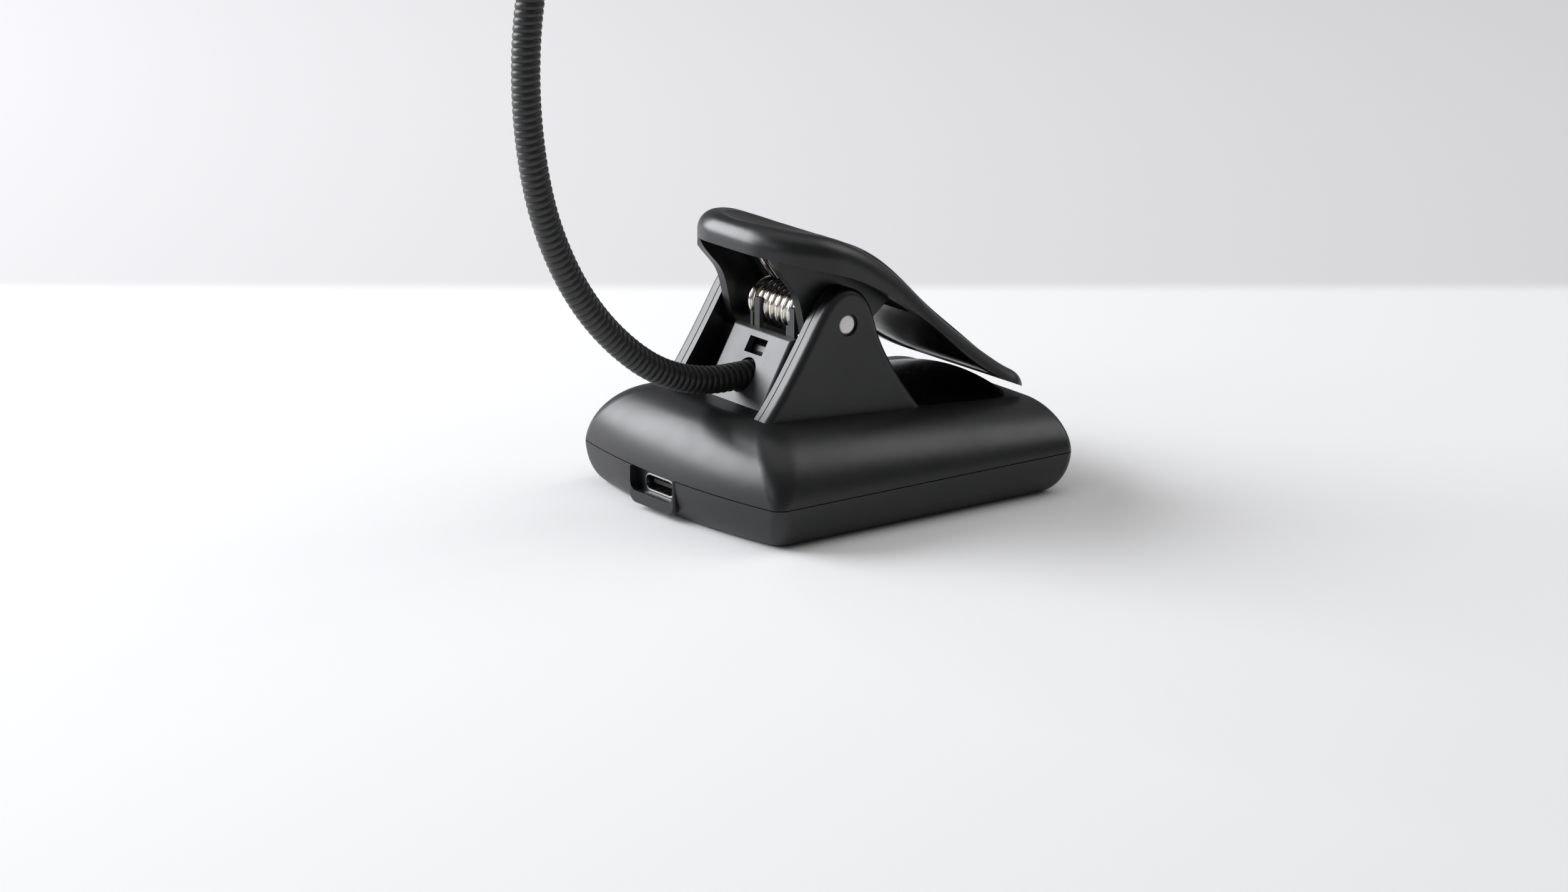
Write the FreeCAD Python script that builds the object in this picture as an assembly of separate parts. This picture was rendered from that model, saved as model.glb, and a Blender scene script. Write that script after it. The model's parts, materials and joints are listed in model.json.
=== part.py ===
import FreeCAD, Part
import math
import os

# Clip-on reading lamp: a sprung clip on a rechargeable battery base, a gooseneck and an LED head.
# Millimetres and degrees. +X points to the jaw tip, -X to the thumb pad and the charging port,
# +Z up. The origin is on the resting plane, under the middle of the base; y = 0 is the plane
# that the lamp is symmetric about.

V = FreeCAD.Vector
Y_AXIS = V(0, 1, 0)

# ---------------------------------------------------------------- battery casing
CASE_WIDTH = 59.4            # across the seam
CASE_FRONT = 33.0            # origin to the front corners of the seam
CASE_REAR = 31.9             # origin to the rear corners of the seam
FRONT_BOW = 3.2              # how far the front bows out between its corners
REAR_BOW = 1.5
SEAM_HEIGHT = 7.5
SEAM_GAP = 0.16
CASE_TOP = 17.3              # height of the flat top over the origin
TOP_TILT = 4.1               # the top falls towards the rear
FRONT_RUN = 8.2              # plan length of the front slope
TOP_BOW = 1.5                # bow of the crest at the top of the front slope
FLOOR_INSET = 3.9            # how far the floor lies inside the seam
FLOOR_FRONT = 3.0            # the same at the front
FRONT_CORNER = 2.6           # plan radius of the front corners at the seam
SLOPE_CORNER = 3.0           # how much larger that radius gets half way up the slope
REAR_ROUND = 1.7             # rounding of the rear end
FLOOR_CORNER = 3.0           # plan radius of the floor's corners
WALL = 1.8
LIP = 1.1                    # height of the locating lip above the seam
LIP_ROOT = 1.0
LIP_CLEARANCE = 0.05

# ---------------------------------------------------------------- clip
EAR_GAP = 25.0               # between the inner faces of the ears
EAR_THICK = 4.0
EAR_EDGE = 1.25              # rounding of the ears' outer edge
EAR_GROOVE = 0.22            # fine line along the ears' edge
EAR_LINE = 1.2               # that line, from the inner face
PIN_X = -8.4
PIN_RISE = 16.7              # pin axis above the casing's top
PIN_DIAMETER = 3.3
PIN_RECESS = 0.4             # pin end below the ear's face
RUNNING = 0.05               # radial clearance of a turning fit
CLOSE = 0.02                 # radial clearance of a fixed fit
COUNTERBORE = 0.35           # widening of the ear's hole at its mouth
LEVER_FRONT = 12.9           # pin to the front corners of the thumb pad
LEVER_REAR = 40.2            # pin to the corners of the jaw tip
LEVER_OVERHANG = 0.7         # lever side beyond the ears' outer faces
LEVER_ROUND = 3.4
THUMB_CORNER = 12.5          # plan radii of the lever's corners
JAW_CORNER = 4.4
JAW_START = 16.2             # pin to the start of the jaw, behind the flanges
LEVER_WALL = 2.2
LEVER_SKIN = 1.5             # plate thickness over the jaw
FLANGE_THICK = 2.0
FLANGE_CLEARANCE = 0.5
PANEL_RISE = 0.7
PANEL_START = 1.0            # pin to the panel's ends, where it runs out into the surface
PANEL_END = 34.0
PANEL_BORDER = 3.6           # from the panel's side to the lever's
THUMB_DISH = 46.0            # radius of the thumb dish
THUMB_DEPTH = 0.9
DISH_LOWEST = (-4.0, 15.5)   # the lever's surface over the dish's middle, from the pin
DISH_TILT = 14.0
PAD_CROWN = 2.15             # rise of the lower grip pad at its middle
PAD_DEPTH = 0.8              # pad sunk in the casing's top
PAD_FRONT = 8.5              # origin to the pad's front edge
PAD_REAR_MARGIN = 5.4        # casing left behind the pad
PAD_EDGE = 0.2               # pad inside the ears' outer faces
PAD_RECESS = 0.4             # upper pad above the jaw's rim
SPRING_WIRE = 1.6
SPRING_PITCH = 1.75
SPRING_TURNS = 7
SPRING_LOOSE = 1.05          # coil's bore round the pin, radial
SPRING_ARM = 12.6
SPRING_LEAVE = 36.9          # turn at which the moving arm leaves the coil

# ---------------------------------------------------------------- neck and its holder
NECK_DIAMETER = 5.0
NECK_RISE = 6.0              # neck axis above the casing's top, at the holder
NECK_START = -22.5           # first bending point
NECK_ANCHOR = -10.2          # inner end of the neck
NECK_LINK = 20.0
NECK_TURNS = (37, 22, 19, 13, 14, 15, 18, 20, 21, 20, 16)
BALL_CLEARANCE = 0.05
SOCKET_START = 0.7           # socket's rim beyond the bending point
HOLDER_WIDTH = 17.2
HOLDER_WALL = 1.2
HOLDER_HEIGHT = 13.2         # top lip above the casing's top
HOLDER_HOLE = 0.35           # radial room round the neck
HOLDER_LEAN = 60.1           # slope of its face
WINDOW_WIDTH = 5.2
WINDOW_HEIGHT = 3.0
FERRULE_WALL = 1.0
FERRULE_LENGTH = 3.6
FINGER_THICK = 0.8
FINGER_RISE = 5.2            # fingers above the holder's lip
# each finger: y from, y to, how much shorter
FINGERS = ((2.9, 4.4, 0.0), (4.9, 5.6, 2.9), (-7.3, -5.9, 0.0), (-5.9, -4.9, 3.4))
CLAMP_ROOM = 2.2             # under the spring's coil
COIL_ROOM = 0.15             # between the fingers and the coil

# ---------------------------------------------------------------- power and fixings
PORT_OFFSET = 3.45           # port's middle from the plane of symmetry
PORT_WIDTH = 12.8
PORT_HEIGHT = 4.2
PORT_DEPTH = 1.9
PORT_RIM = 0.45
PORT_SKIRT = 2.3             # boss below the port's opening
PORT_ROUND = 2.0             # the boss's lower corners
USB_WIDTH = 8.94             # receptacle shell
USB_HEIGHT = 3.16
USB_LENGTH = 8.5
USB_SHEET = 0.3
USB_BACK = 1.2               # depth of its closed back
USB_DROP = 2.5               # port axis below the seam
TONGUE_LENGTH = 6.2
TONGUE_WIDTH = 6.7
TONGUE_THICK = 0.7
BOARD_THICK = 1.0
BOARD_WIDTH = 18.0
BOARD_LENGTH = 14.0
CELL_LENGTH = 38.0
CELL_WIDTH = 28.0
CELL_THICK = 7.0
FOOT_LENGTH = 50.0           # rubber foot pad under the floor
FOOT_WIDTH = 29.0
FOOT_CORNER = 4.0
FOOT_BOW = 1.0
FOOT_PROUD = 0.2
FOOT_SUNK = 0.6
SCREW_DIAMETER = 2.0
SCREW_HEAD = 3.6
SCREW_HEAD_THICK = 1.2
SCREW_SUNK = 0.7             # heads below the floor
SCREW_PLAY = 0.1             # radial room of a screw in the piece it passes through
PILLAR = 6.0
PILLAR_RISE = 1.4            # lower pillars above the seam
SCREW_COVER = 3.2            # casing left over the screws' tips
CLAMP_BOSS = 2.6             # depth of the clamp screws' bosses under the casing's top
SCREW_INSET_X = 10.2         # screw axes inside the seam's corners
SCREW_INSET_Y = 12.2
PIPE_WIDTH = 4.6             # charge light's pipe
PIPE_HEIGHT = 1.5
PIPE_OFFSET = 12.4
PIPE_RISE = 0.5              # middle of its mouth above the resting plane
PIPE_TILT = 38.0             # it rises inwards
PIPE_LENGTH = 5.0
PIPE_SUNK = 0.9              # its outer end lies this far inside the casing's surface

# ---------------------------------------------------------------- lamp head
HEAD_LENGTH = 60.0
HEAD_WIDTH = 30.0
HEAD_BACK = 5.2              # back shell above the parting line
HEAD_FRONT = 4.4             # bezel below the parting line
HEAD_CORNER = 13.0
HEAD_BOW = 2.0
HEAD_WALL = 1.5
HEAD_ROUND = 2.6
BEZEL_BORDER = 2.4
DIFFUSER_THICK = 1.4
LIGHT_BOARD_THICK = 1.0
DIODES_LONG = 4
DIODES_WIDE = 2
DIODE_SIZE = 3.0
DIODE_THICK = 0.6
DIODE_PITCH_X = 11.0
DIODE_PITCH_Y = 9.0
BUTTON_DIAMETER = 6.4
BUTTON_TRAVEL = 0.5
BUTTON_PROUD = 0.9
BUTTON_SPACING = 14.0
BUTTON_BACK = 12.0           # their middle, from the head's
SWITCH_HALF = 1.7
SWITCH_TOP = 1.2
HEAD_SCREW_X = 22.5
HEAD_SCREW_Y = 7.5
HEAD_SCREW_R = 0.8
HEAD_BOSS_R = 2.0
BUTTON_FIT = 0.1
COLLAR_WALL = 1.5
COLLAR_FIT = 0.2             # the neck's bend leaves this much round it
COLLAR_START = -5.0          # on the neck, before its end
COLLAR_END = 3.0             # inside the head's wall
HEAD_START = 3.5             # the head's corner, after the neck's end

# ---------------------------------------------------------------- what follows from them
HALF = CASE_WIDTH / 2
EAR_INNER = EAR_GAP / 2
EAR_OUTER = EAR_INNER + EAR_THICK
PIN_Z = CASE_TOP + PIN_RISE
PIN_R = PIN_DIAMETER / 2
NECK_R = NECK_DIAMETER / 2
NECK_Z = CASE_TOP + NECK_RISE
FLOOR_Z = FOOT_PROUD
LEVER_HALF = EAR_OUTER + LEVER_OVERHANG
BOARD_TOP = SEAM_HEIGHT - USB_DROP - USB_HEIGHT / 2
FAR = 80.0                   # beyond every face of the casing
HEAD_MIDDLE = HEAD_START + HEAD_LENGTH / 2
BOARD_LOW = -LIGHT_BOARD_THICK - 0.1     # the light board's lower face, from the parting line
PORT_FACE = -(CASE_FRONT + FRONT_BOW + 0.2)
PORT_Z = SEAM_HEIGHT - USB_DROP
PORT_HALF = PORT_WIDTH / 2 + PORT_RIM
USB_FRONT = PORT_FACE + PORT_DEPTH
SPRING_R = PIN_R + SPRING_LOOSE + SPRING_WIRE / 2
CLAMP_TOP = PIN_Z - SPRING_R - SPRING_WIRE / 2 - CLAMP_ROOM
HOLDER_REAR = PIN_X - 1.2
LIP_Z = CASE_TOP + HOLDER_HEIGHT
SLOPED_WALL = HOLDER_WALL / math.sin(math.radians(HOLDER_LEAN))
WINDOW_DROP = 0.95 * WINDOW_HEIGHT
LAST_TURN = 86.0             # where the shoulders' quarter ellipse meets the flat top
SHOULDER = (HALF - EAR_OUTER) / (1 - math.cos(math.radians(LAST_TURN)))


def save(name, shape):
    """Write one node and print its volume."""
    shape = shape.removeSplitter() if len(shape.Solids) == 1 else shape
    shape.exportStep("parts/" + name + ".step")
    facts = (name, len(shape.Solids), shape.Volume, shape.isValid())
    print("%-16s solids %d  volume %9.1f  valid %s" % facts)


def box(x0, x1, y0, y1, z0, z1):
    return Part.makeBox(x1 - x0, y1 - y0, z1 - z0, V(x0, y0, z0))


def cylinder(radius, start, end):
    return Part.makeCylinder(radius, (end - start).Length, start, end - start)


def fuse(shapes):
    return shapes[0].multiFuse(shapes[1:])


def top_at(x):
    """Height of the casing's flat, tilted top."""
    return CASE_TOP - x * math.tan(math.radians(TOP_TILT))


def from_pin(points):
    """Points given from the pin's axis, as (x, z), in the lamp's frame."""
    return [V(PIN_X + x, 0, PIN_Z + z) for x, z in points]


def spline(points):
    curve = Part.BSplineCurve()
    curve.interpolate(points)
    return curve.toShape()


def polyline(points):
    return [Part.makeLine(a, b) for a, b in zip(points, points[1:])]


def side_prism(edges, y0, y1):
    """A closed outline in the y = 0 plane, stretched from y0 to y1."""
    wire = Part.Wire(Part.__sortEdges__(edges))
    face = Part.Face(wire)
    face.translate(V(0, y0, 0))
    return face.extrude(V(0, y1 - y0, 0))


def arc(a, b, c):
    return Part.Arc(a, b, c).toShape()


def end_arc(tip, half, bow, corner, side):
    """Half of one bowed end with rounded corners: the edges from y = -half round to y = 0.
    tip is the distance from the origin to the square corner, side -1 for the front, 1 for the rear."""
    bow_r = (half * half + bow * bow) / (2 * bow)
    centre = tip + bow - bow_r
    reach = math.sqrt((bow_r - corner) ** 2 - (half - corner) ** 2)
    corner_x = centre + reach
    turn = math.atan2(half - corner, reach)
    meet = (centre + bow_r * math.cos(turn), bow_r * math.sin(turn))
    middle = turn + (math.pi / 2 - turn) / 2
    bend = (corner_x + corner * math.cos(middle), half - corner + corner * math.sin(middle))
    return corner_x * side, V(side * bend[0], bend[1], 0), V(side * meet[0], meet[1], 0), side * (tip + bow)


def outline(front, rear, half, front_bow, rear_bow, front_corner, rear_corner):
    """Plan outline at z = 0. With no rear corner the rear end is square."""
    flip = lambda p: V(p.x, -p.y, p.z)
    fx, fbend, fmeet, ftip = end_arc(front, half, front_bow, front_corner, -1)
    edges = [arc(V(fx, half, 0), fbend, fmeet), arc(fmeet, V(ftip, 0, 0), flip(fmeet)),
             arc(flip(fmeet), flip(fbend), V(fx, -half, 0))]
    if rear_corner is None:
        edges += polyline([V(fx, -half, 0), V(rear, -half, 0), V(rear, half, 0), V(fx, half, 0)])
        return Part.Wire(edges)
    rx, rbend, rmeet, rtip = end_arc(rear, half, rear_bow, rear_corner, 1)
    edges += [Part.makeLine(V(fx, -half, 0), V(rx, -half, 0)),
              arc(V(rx, -half, 0), flip(rbend), flip(rmeet)),
              arc(flip(rmeet), V(rtip, 0, 0), rmeet), arc(rmeet, rbend, V(rx, half, 0)),
              Part.makeLine(V(rx, half, 0), V(fx, half, 0))]
    return Part.Wire(edges)


def plan_prism(wire, z0, z1):
    face = Part.Face(wire)
    face.translate(V(0, 0, z0))
    return face.extrude(V(0, 0, z1 - z0))


def seam_outline(inset):
    """The seam's outline, moved inwards."""
    return outline(CASE_FRONT - inset, CASE_REAR - inset, HALF - inset, FRONT_BOW, REAR_BOW,
                   FRONT_CORNER, max(REAR_ROUND - inset, 0.4))


# ---------------------------------------------------------------- casing
SHOULDER_STEPS = (0, 15, 30, 45, 58, 70, 79, LAST_TURN)
FLOOR_STEPS = (0, 15, 30, 45, 60, 75, 84)


def upper_block(inset):
    """The upper casing's solid: shoulders and front slope are quarter ellipses under a tilted top.
    Its rear is left long, to be cut by the rear wall."""
    wires = []
    for step in SHOULDER_STEPS:
        turn = math.radians(step)
        inward = 1 - math.cos(turn)
        share = math.sin(turn)
        wire = outline(CASE_FRONT - inset - FRONT_RUN / (1 - math.cos(math.radians(LAST_TURN))) * inward,
                       CASE_REAR + 12, HALF - inset - SHOULDER * inward,
                       FRONT_BOW + (TOP_BOW - FRONT_BOW) * inward, None,
                       FRONT_CORNER + SLOPE_CORNER * math.sin(2 * turn), None)
        wire.rotate(V(0, 0, 0), Y_AXIS, TOP_TILT * share)
        wire.translate(V(0, 0, SEAM_HEIGHT + (CASE_TOP - inset - SEAM_HEIGHT) * share))
        wires.append(wire)
    block = Part.makeLoft(wires, True, False)
    rear_r = (HALF ** 2 + REAR_BOW ** 2) / (2 * REAR_BOW)
    centre = CASE_REAR + REAR_BOW - rear_r
    reach = HALF + 4
    sag = centre - inset + math.sqrt(rear_r ** 2 - reach ** 2)
    edges = [arc(V(sag, -reach, 0), V(centre - inset + rear_r, 0, 0), V(sag, reach, 0))]
    edges += polyline([V(sag, reach, 0), V(-2 * CASE_FRONT, reach, 0), V(-2 * CASE_FRONT, -reach, 0),
                       V(sag, -reach, 0)])
    block = block.common(plan_prism(Part.Wire(edges), 0, 3 * CASE_TOP))
    on_wall = lambda e: all(abs(math.hypot(v.X - centre + inset, v.Y) - rear_r) < 0.01 for v in e.Vertexes)
    high = lambda e: e.BoundBox.ZMax > SEAM_HEIGHT + 0.1
    edges = [e for e in block.Edges if on_wall(e) and high(e)]
    return block.makeFillet(REAR_ROUND - min(inset, REAR_ROUND - 0.7), edges)


def lower_block(inset):
    """The lower casing's solid, which curves in to a flat floor."""
    wires = []
    for step in FLOOR_STEPS:
        turn = math.radians(step)
        share = math.sin(turn) / math.sin(math.radians(FLOOR_STEPS[-1]))
        inward = (1 - math.cos(turn)) * FLOOR_INSET
        front = (1 - math.cos(turn)) * FLOOR_FRONT
        corner = (FLOOR_CORNER - FRONT_CORNER) * share
        wire = outline(CASE_FRONT - inset - front, CASE_REAR - inset - inward, HALF - inset - inward,
                       FRONT_BOW, REAR_BOW, FRONT_CORNER + corner, max(REAR_ROUND - inset, 0.4) + 2 * corner)
        depth = (SEAM_HEIGHT - FLOOR_Z - inset) * share
        wire.translate(V(0, 0, SEAM_HEIGHT - depth))
        wires.append(wire)
    return Part.makeLoft(wires, True, False)


def screw_places():
    for x in (-CASE_FRONT + SCREW_INSET_X, CASE_REAR - SCREW_INSET_X):
        for side in (-1, 1):
            yield x, side * (HALF - SCREW_INSET_Y)


def clamp_screw_places():
    for side in (-1, 1):
        yield PIN_X - 3.1, side * (NECK_R + FERRULE_WALL + SCREW_DIAMETER / 2 + 0.8)


EAR_EDGE_POINTS = ((-19.4, -17.0), (-11.6, -7.3), (-6.6, 0.4), (-4.1, 4.0), (-1.9, 5.8), (0.8, 6.3),
                   (3.4, 5.1), (5.1, 2.8), (6.8, -2.0), (10.8, -9.8), (17.2, -18.2))


def ear(side):
    """One ear: a plate with its outer edge rounded and a fine line along that edge."""
    edge = from_pin(EAR_EDGE_POINTS)
    close = polyline([edge[-1], edge[0]])
    plate = side_prism([spline(edge)] + close, side * EAR_INNER, side * EAR_OUTER)
    rim = [e for e in plate.Edges if len(e.Vertexes) == 2 and e.Length > 1.5 * EAR_GAP
           and all(abs(v.Y - side * EAR_OUTER) < 1e-6 for v in e.Vertexes)]
    plate = plate.makeFillet(EAR_EDGE, rim)
    line_y = EAR_INNER + EAR_LINE
    band = side_prism([spline(edge)] + close, side * line_y, side * (line_y + EAR_GROOVE))
    shrunk = [p + V(math.copysign(0.8 * EAR_GROOVE, PIN_X - p.x), 0, -EAR_GROOVE / 2) for p in edge]
    low = CASE_TOP - 5
    close = polyline([shrunk[-1], V(shrunk[-1].x, 0, low), V(shrunk[0].x, 0, low), shrunk[0]])
    inner = side_prism([spline(shrunk)] + close, side * EAR_INNER, side * EAR_OUTER)
    return plate.cut(band.cut(inner))


def pin_hole(radius):
    reach = EAR_OUTER + 5
    return cylinder(radius, V(PIN_X, -reach, PIN_Z), V(PIN_X, reach, PIN_Z))


def grip_pad_plan(grow):
    rear = CASE_REAR + REAR_BOW - PAD_REAR_MARGIN + grow
    return outline(grow - PAD_FRONT, rear, EAR_OUTER - PAD_EDGE + grow, 0.6, 0.6, 2.0, 3.0)


def upper_casing():
    shell = upper_block(0).cut(upper_block(WALL))
    shell = shell.cut(plan_prism(seam_outline(WALL), 0, SEAM_HEIGHT + 0.01))
    rebate = plan_prism(seam_outline(WALL / 2 - LIP_CLEARANCE), 0, SEAM_HEIGHT + LIP + LIP_CLEARANCE)
    shell = shell.cut(rebate)
    shell = shell.cut(box(-FAR, FAR, -FAR, FAR, 0, SEAM_HEIGHT + SEAM_GAP / 2))
    shell = shell.fuse(ear(-1)).fuse(ear(1))
    inside = upper_block(WALL / 2)
    bosses = [cylinder(PILLAR / 2, V(x, y, SEAM_HEIGHT + PILLAR_RISE + CLOSE), V(x, y, 2 * CASE_TOP))
              for x, y in screw_places()]
    for x, y in clamp_screw_places():
        bosses.append(cylinder(PILLAR / 2, V(x, y, CASE_TOP - CLAMP_BOSS), V(x, y, 2 * CASE_TOP)))
    for boss in bosses:
        shell = shell.fuse(boss.common(inside))
    for x, y in screw_places():
        shell = shell.cut(cylinder(SCREW_DIAMETER / 2, V(x, y, 0), V(x, y, CASE_TOP - SCREW_COVER)))
    for x, y in clamp_screw_places():
        shell = shell.cut(cylinder(SCREW_DIAMETER / 2 + SCREW_PLAY, V(x, y, 0), V(x, y, 2 * CASE_TOP)))
    shell = shell.cut(pad_block(CLOSE))
    shell = shell.cut(pin_hole(PIN_R + CLOSE))
    for side in (-1, 1):
        mouth = cylinder(PIN_R + COUNTERBORE, V(PIN_X, side * (EAR_OUTER - PIN_RECESS), PIN_Z),
                         V(PIN_X, side * (EAR_OUTER + 1), PIN_Z))
        shell = shell.cut(mouth)
    return shell


def pad_block(grow):
    """The lower grip pad: its plan, from its seat up to a crown that runs along the tilted top."""
    crown_r = (EAR_OUTER ** 2 + PAD_CROWN ** 2) / (2 * PAD_CROWN)
    span = 2 * CASE_REAR
    barrel = Part.makeCylinder(crown_r, 2 * span, V(-span, 0, CASE_TOP + PAD_CROWN - crown_r), V(1, 0, 0))
    barrel.rotate(V(0, 0, CASE_TOP), Y_AXIS, TOP_TILT)
    seat = box(-span, span, -span, span, CASE_TOP - PAD_DEPTH, CASE_TOP + 10)
    seat.rotate(V(0, 0, CASE_TOP), Y_AXIS, TOP_TILT)
    return plan_prism(grip_pad_plan(grow), 0, 2 * CASE_TOP).common(barrel).common(seat)


def boss_block():
    """The flat-faced boss round the charging port."""
    low = SEAM_HEIGHT - PORT_HEIGHT - PORT_SKIRT
    block = box(PORT_FACE, -CASE_FRONT + 6, PORT_OFFSET - PORT_HALF, PORT_OFFSET + PORT_HALF,
                low, SEAM_HEIGHT - SEAM_GAP / 2)
    edges = [e for e in block.Edges if abs(e.BoundBox.ZMax - low) < 1e-6 and e.BoundBox.XLength > 2]
    block = block.makeFillet(PORT_ROUND, edges)
    face_edges = [e for e in block.Edges if e.BoundBox.XMax < PORT_FACE + 1e-6]
    front = [e for e in face_edges if e.BoundBox.ZMin < SEAM_HEIGHT - 1]
    return block.makeFillet(PORT_RIM - 0.05, front)


def port_mouth():
    """The recess in the boss, open at the seam, with rounded lower corners."""
    block = box(PORT_FACE - 1, USB_FRONT, PORT_OFFSET - PORT_WIDTH / 2, PORT_OFFSET + PORT_WIDTH / 2,
                SEAM_HEIGHT - PORT_HEIGHT, SEAM_HEIGHT + 1)
    low = SEAM_HEIGHT - PORT_HEIGHT + 1e-6
    return block.makeFillet(PORT_ROUND - PORT_RIM, [e for e in block.Edges if e.BoundBox.ZMax < low
                                                    and e.BoundBox.XLength > 1])


def slot_bar(width, height, x0, x1, y, z):
    """A bar along X whose section is a slot with round ends."""
    radius = height / 2
    reach = width / 2 - radius
    core = box(x0, x1, y - reach, y + reach, z - radius, z + radius)
    ends = [cylinder(radius, V(x0, y + s * reach, z), V(x1, y + s * reach, z)) for s in (-1, 1)]
    return fuse([core] + ends).removeSplitter()


def pipe_bar(grow):
    """The charge light's pipe, long enough to pass through the casing's lower front."""
    bar = slot_bar(PIPE_WIDTH + 2 * grow, PIPE_HEIGHT + 2 * grow, -PIPE_LENGTH, PIPE_LENGTH, 0, 0)
    bar.rotate(V(0, 0, 0), Y_AXIS, -PIPE_TILT)
    bar.translate(V(FLOOR_INSET / 2 - CASE_FRONT - FRONT_BOW / 2, -PIPE_OFFSET, PIPE_RISE))
    return bar


def lower_casing():
    shell = lower_block(0).fuse(boss_block())
    shell = shell.cut(lower_block(WALL))
    shell = shell.cut(box(-FAR, FAR, -FAR, FAR, SEAM_HEIGHT - SEAM_GAP / 2, FAR))
    lip = plan_prism(seam_outline(WALL / 2), SEAM_HEIGHT - LIP_ROOT, SEAM_HEIGHT + LIP)
    lip = lip.cut(plan_prism(seam_outline(WALL - 0.1), 0, FAR))
    lip = lip.cut(box(-FAR, -CASE_FRONT + 3, PORT_OFFSET - PORT_HALF, PORT_OFFSET + PORT_HALF, 0, FAR))
    shell = shell.fuse(lip)
    for x, y in screw_places():
        foot = V(x, y, FLOOR_Z + WALL / 2)
        shell = shell.fuse(cylinder(PILLAR / 2, foot, V(x, y, SEAM_HEIGHT + PILLAR_RISE)))
    head_seat = FLOOR_Z + SCREW_SUNK + SCREW_HEAD_THICK
    for x, y in screw_places():
        shell = shell.cut(cylinder(SCREW_HEAD / 2 + SCREW_PLAY, V(x, y, 0), V(x, y, head_seat)))
        shell = shell.cut(cylinder(SCREW_DIAMETER / 2 + SCREW_PLAY, V(x, y, 0), V(x, y, FAR)))
    shell = shell.cut(foot_pad(CLOSE)).cut(port_mouth())
    shell = shell.cut(slot_bar(USB_WIDTH + 2 * CLOSE, USB_HEIGHT + 2 * CLOSE, PORT_FACE,
                               USB_FRONT + USB_LENGTH + 0.1, PORT_OFFSET, PORT_Z))
    return shell.cut(pipe_bar(CLOSE))


# ---------------------------------------------------------------- lever
LEVER_TOP = ((-19.6, 18.4), (-14.0, 17.9), (-7.8, 16.7), (-1.7, 15.2), (3.5, 12.8), (9.0, 9.2), (14.0, 5.0),
             (19.5, -0.3), (26.0, -5.8), (32.5, -10.7), (38.0, -14.3), (43.0, -16.6))
LEVER_RIM = ((-19.6, 13.7), (-15.4, 12.9), (-8.5, 11.1), (-3.0, 9.5), (3.0, 7.2), (8.8, 3.9), (13.3, 0.8),
             (18.9, -3.4), (23.8, -7.7), (29.5, -12.1), (34.6, -15.1), (38.0, -16.7), (43.0, -18.7))
FLANGE_FRONT = ((-12.8, 12.6), (-10.5, 9.0), (-7.9, 5.8), (-6.8, 2.7), (-5.9, -1.5))
FLANGE_REAR = ((5.7, -2.2), (9.1, -0.5), (11.6, 1.5), (15.5, 5.2))
FLANGE_LOW = 6.1             # the flanges' round lower end, below the pin
DEEP = -40.0                 # below the pin, under every piece of the lever


def shifted(points, inward):
    """Points moved square to their line, downwards."""
    moved = []
    for i, (x, z) in enumerate(points):
        a = points[max(i - 1, 0)]
        b = points[min(i + 1, len(points) - 1)]
        dx, dz = b[0] - a[0], b[1] - a[1]
        size = math.hypot(dx, dz)
        moved.append((x + inward * dz / size, z - inward * dx / size))
    return moved


def under(points, y0, y1, floor=DEEP):
    """Everything under a curve, down to a floor; both are given from the pin."""
    line = from_pin(points)
    low = PIN_Z + floor
    close = polyline([line[-1], V(line[-1].x, 0, low), V(line[0].x, 0, low), line[0]])
    return side_prism([spline(line)] + close, y0, y1)


def lever_plan(inset):
    wire = outline(LEVER_FRONT - inset, LEVER_REAR - inset, LEVER_HALF - inset, 1.3, 1.2,
                   THUMB_CORNER - inset, JAW_CORNER - inset)
    wire.translate(V(PIN_X, 0, 0))
    return plan_prism(wire, PIN_Z + DEEP, PIN_Z - DEEP)


def lever_envelope():
    """The lever's outside before its underside is cut, with its top edge rounded all round."""
    reach = LEVER_HALF + 2
    block = under(LEVER_TOP, -reach, reach).common(lever_plan(0))
    top = max(block.Faces, key=lambda f: f.CenterOfMass.z)
    return block.makeFillet(LEVER_ROUND, top.Edges)


def raised_panel():
    """The long, slightly raised panel on the lever's back. Its ends run out into the surface."""
    rise = lambda x: PANEL_RISE * max(-0.4, min(1.0, (x - PANEL_START) / 6.0, (PANEL_END - x) / 6.0))
    line = [(x, z + rise(x)) for x, z in LEVER_TOP]
    wire = outline(-PANEL_START, PANEL_END, LEVER_HALF - PANEL_BORDER, 1.6, 1.0, 5.5, 4.0)
    wire.translate(V(PIN_X, 0, 0))
    reach = LEVER_HALF
    block = under(line, -reach, reach).common(plan_prism(wire, PIN_Z + DEEP, PIN_Z - DEEP))
    top = max(block.Faces, key=lambda f: f.CenterOfMass.z)
    block = block.makeFillet(0.8 * PANEL_RISE, top.Edges)
    return block.cut(under(shifted(LEVER_TOP, LEVER_SKIN / 2), -2 * reach, 2 * reach))


def lever_flange(side):
    """One inner flange, with the bore that turns on the pin."""
    front = from_pin(FLANGE_FRONT)
    rear = from_pin(FLANGE_REAR)
    top = PIN_Z - DEEP
    low = from_pin([(0.0, -FLANGE_LOW)])[0]
    edges = [spline(front), spline(rear), arc(front[-1], low, rear[0])]
    edges += polyline([rear[-1], V(rear[-1].x, 0, top), V(front[0].x, 0, top), front[0]])
    outer = EAR_INNER - FLANGE_CLEARANCE
    return side_prism(edges, side * (outer - FLANGE_THICK), side * outer)


def jaw_pocket(inset, skin):
    """The hollow behind the flanges, inside the rim, which the upper grip pad fills."""
    reach = LEVER_HALF + 2
    block = under(shifted(LEVER_TOP, skin), -reach, reach).common(lever_plan(inset))
    return block.common(box(PIN_X + JAW_START, FAR, -reach, reach, PIN_Z + DEEP, PIN_Z - DEEP))


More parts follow.
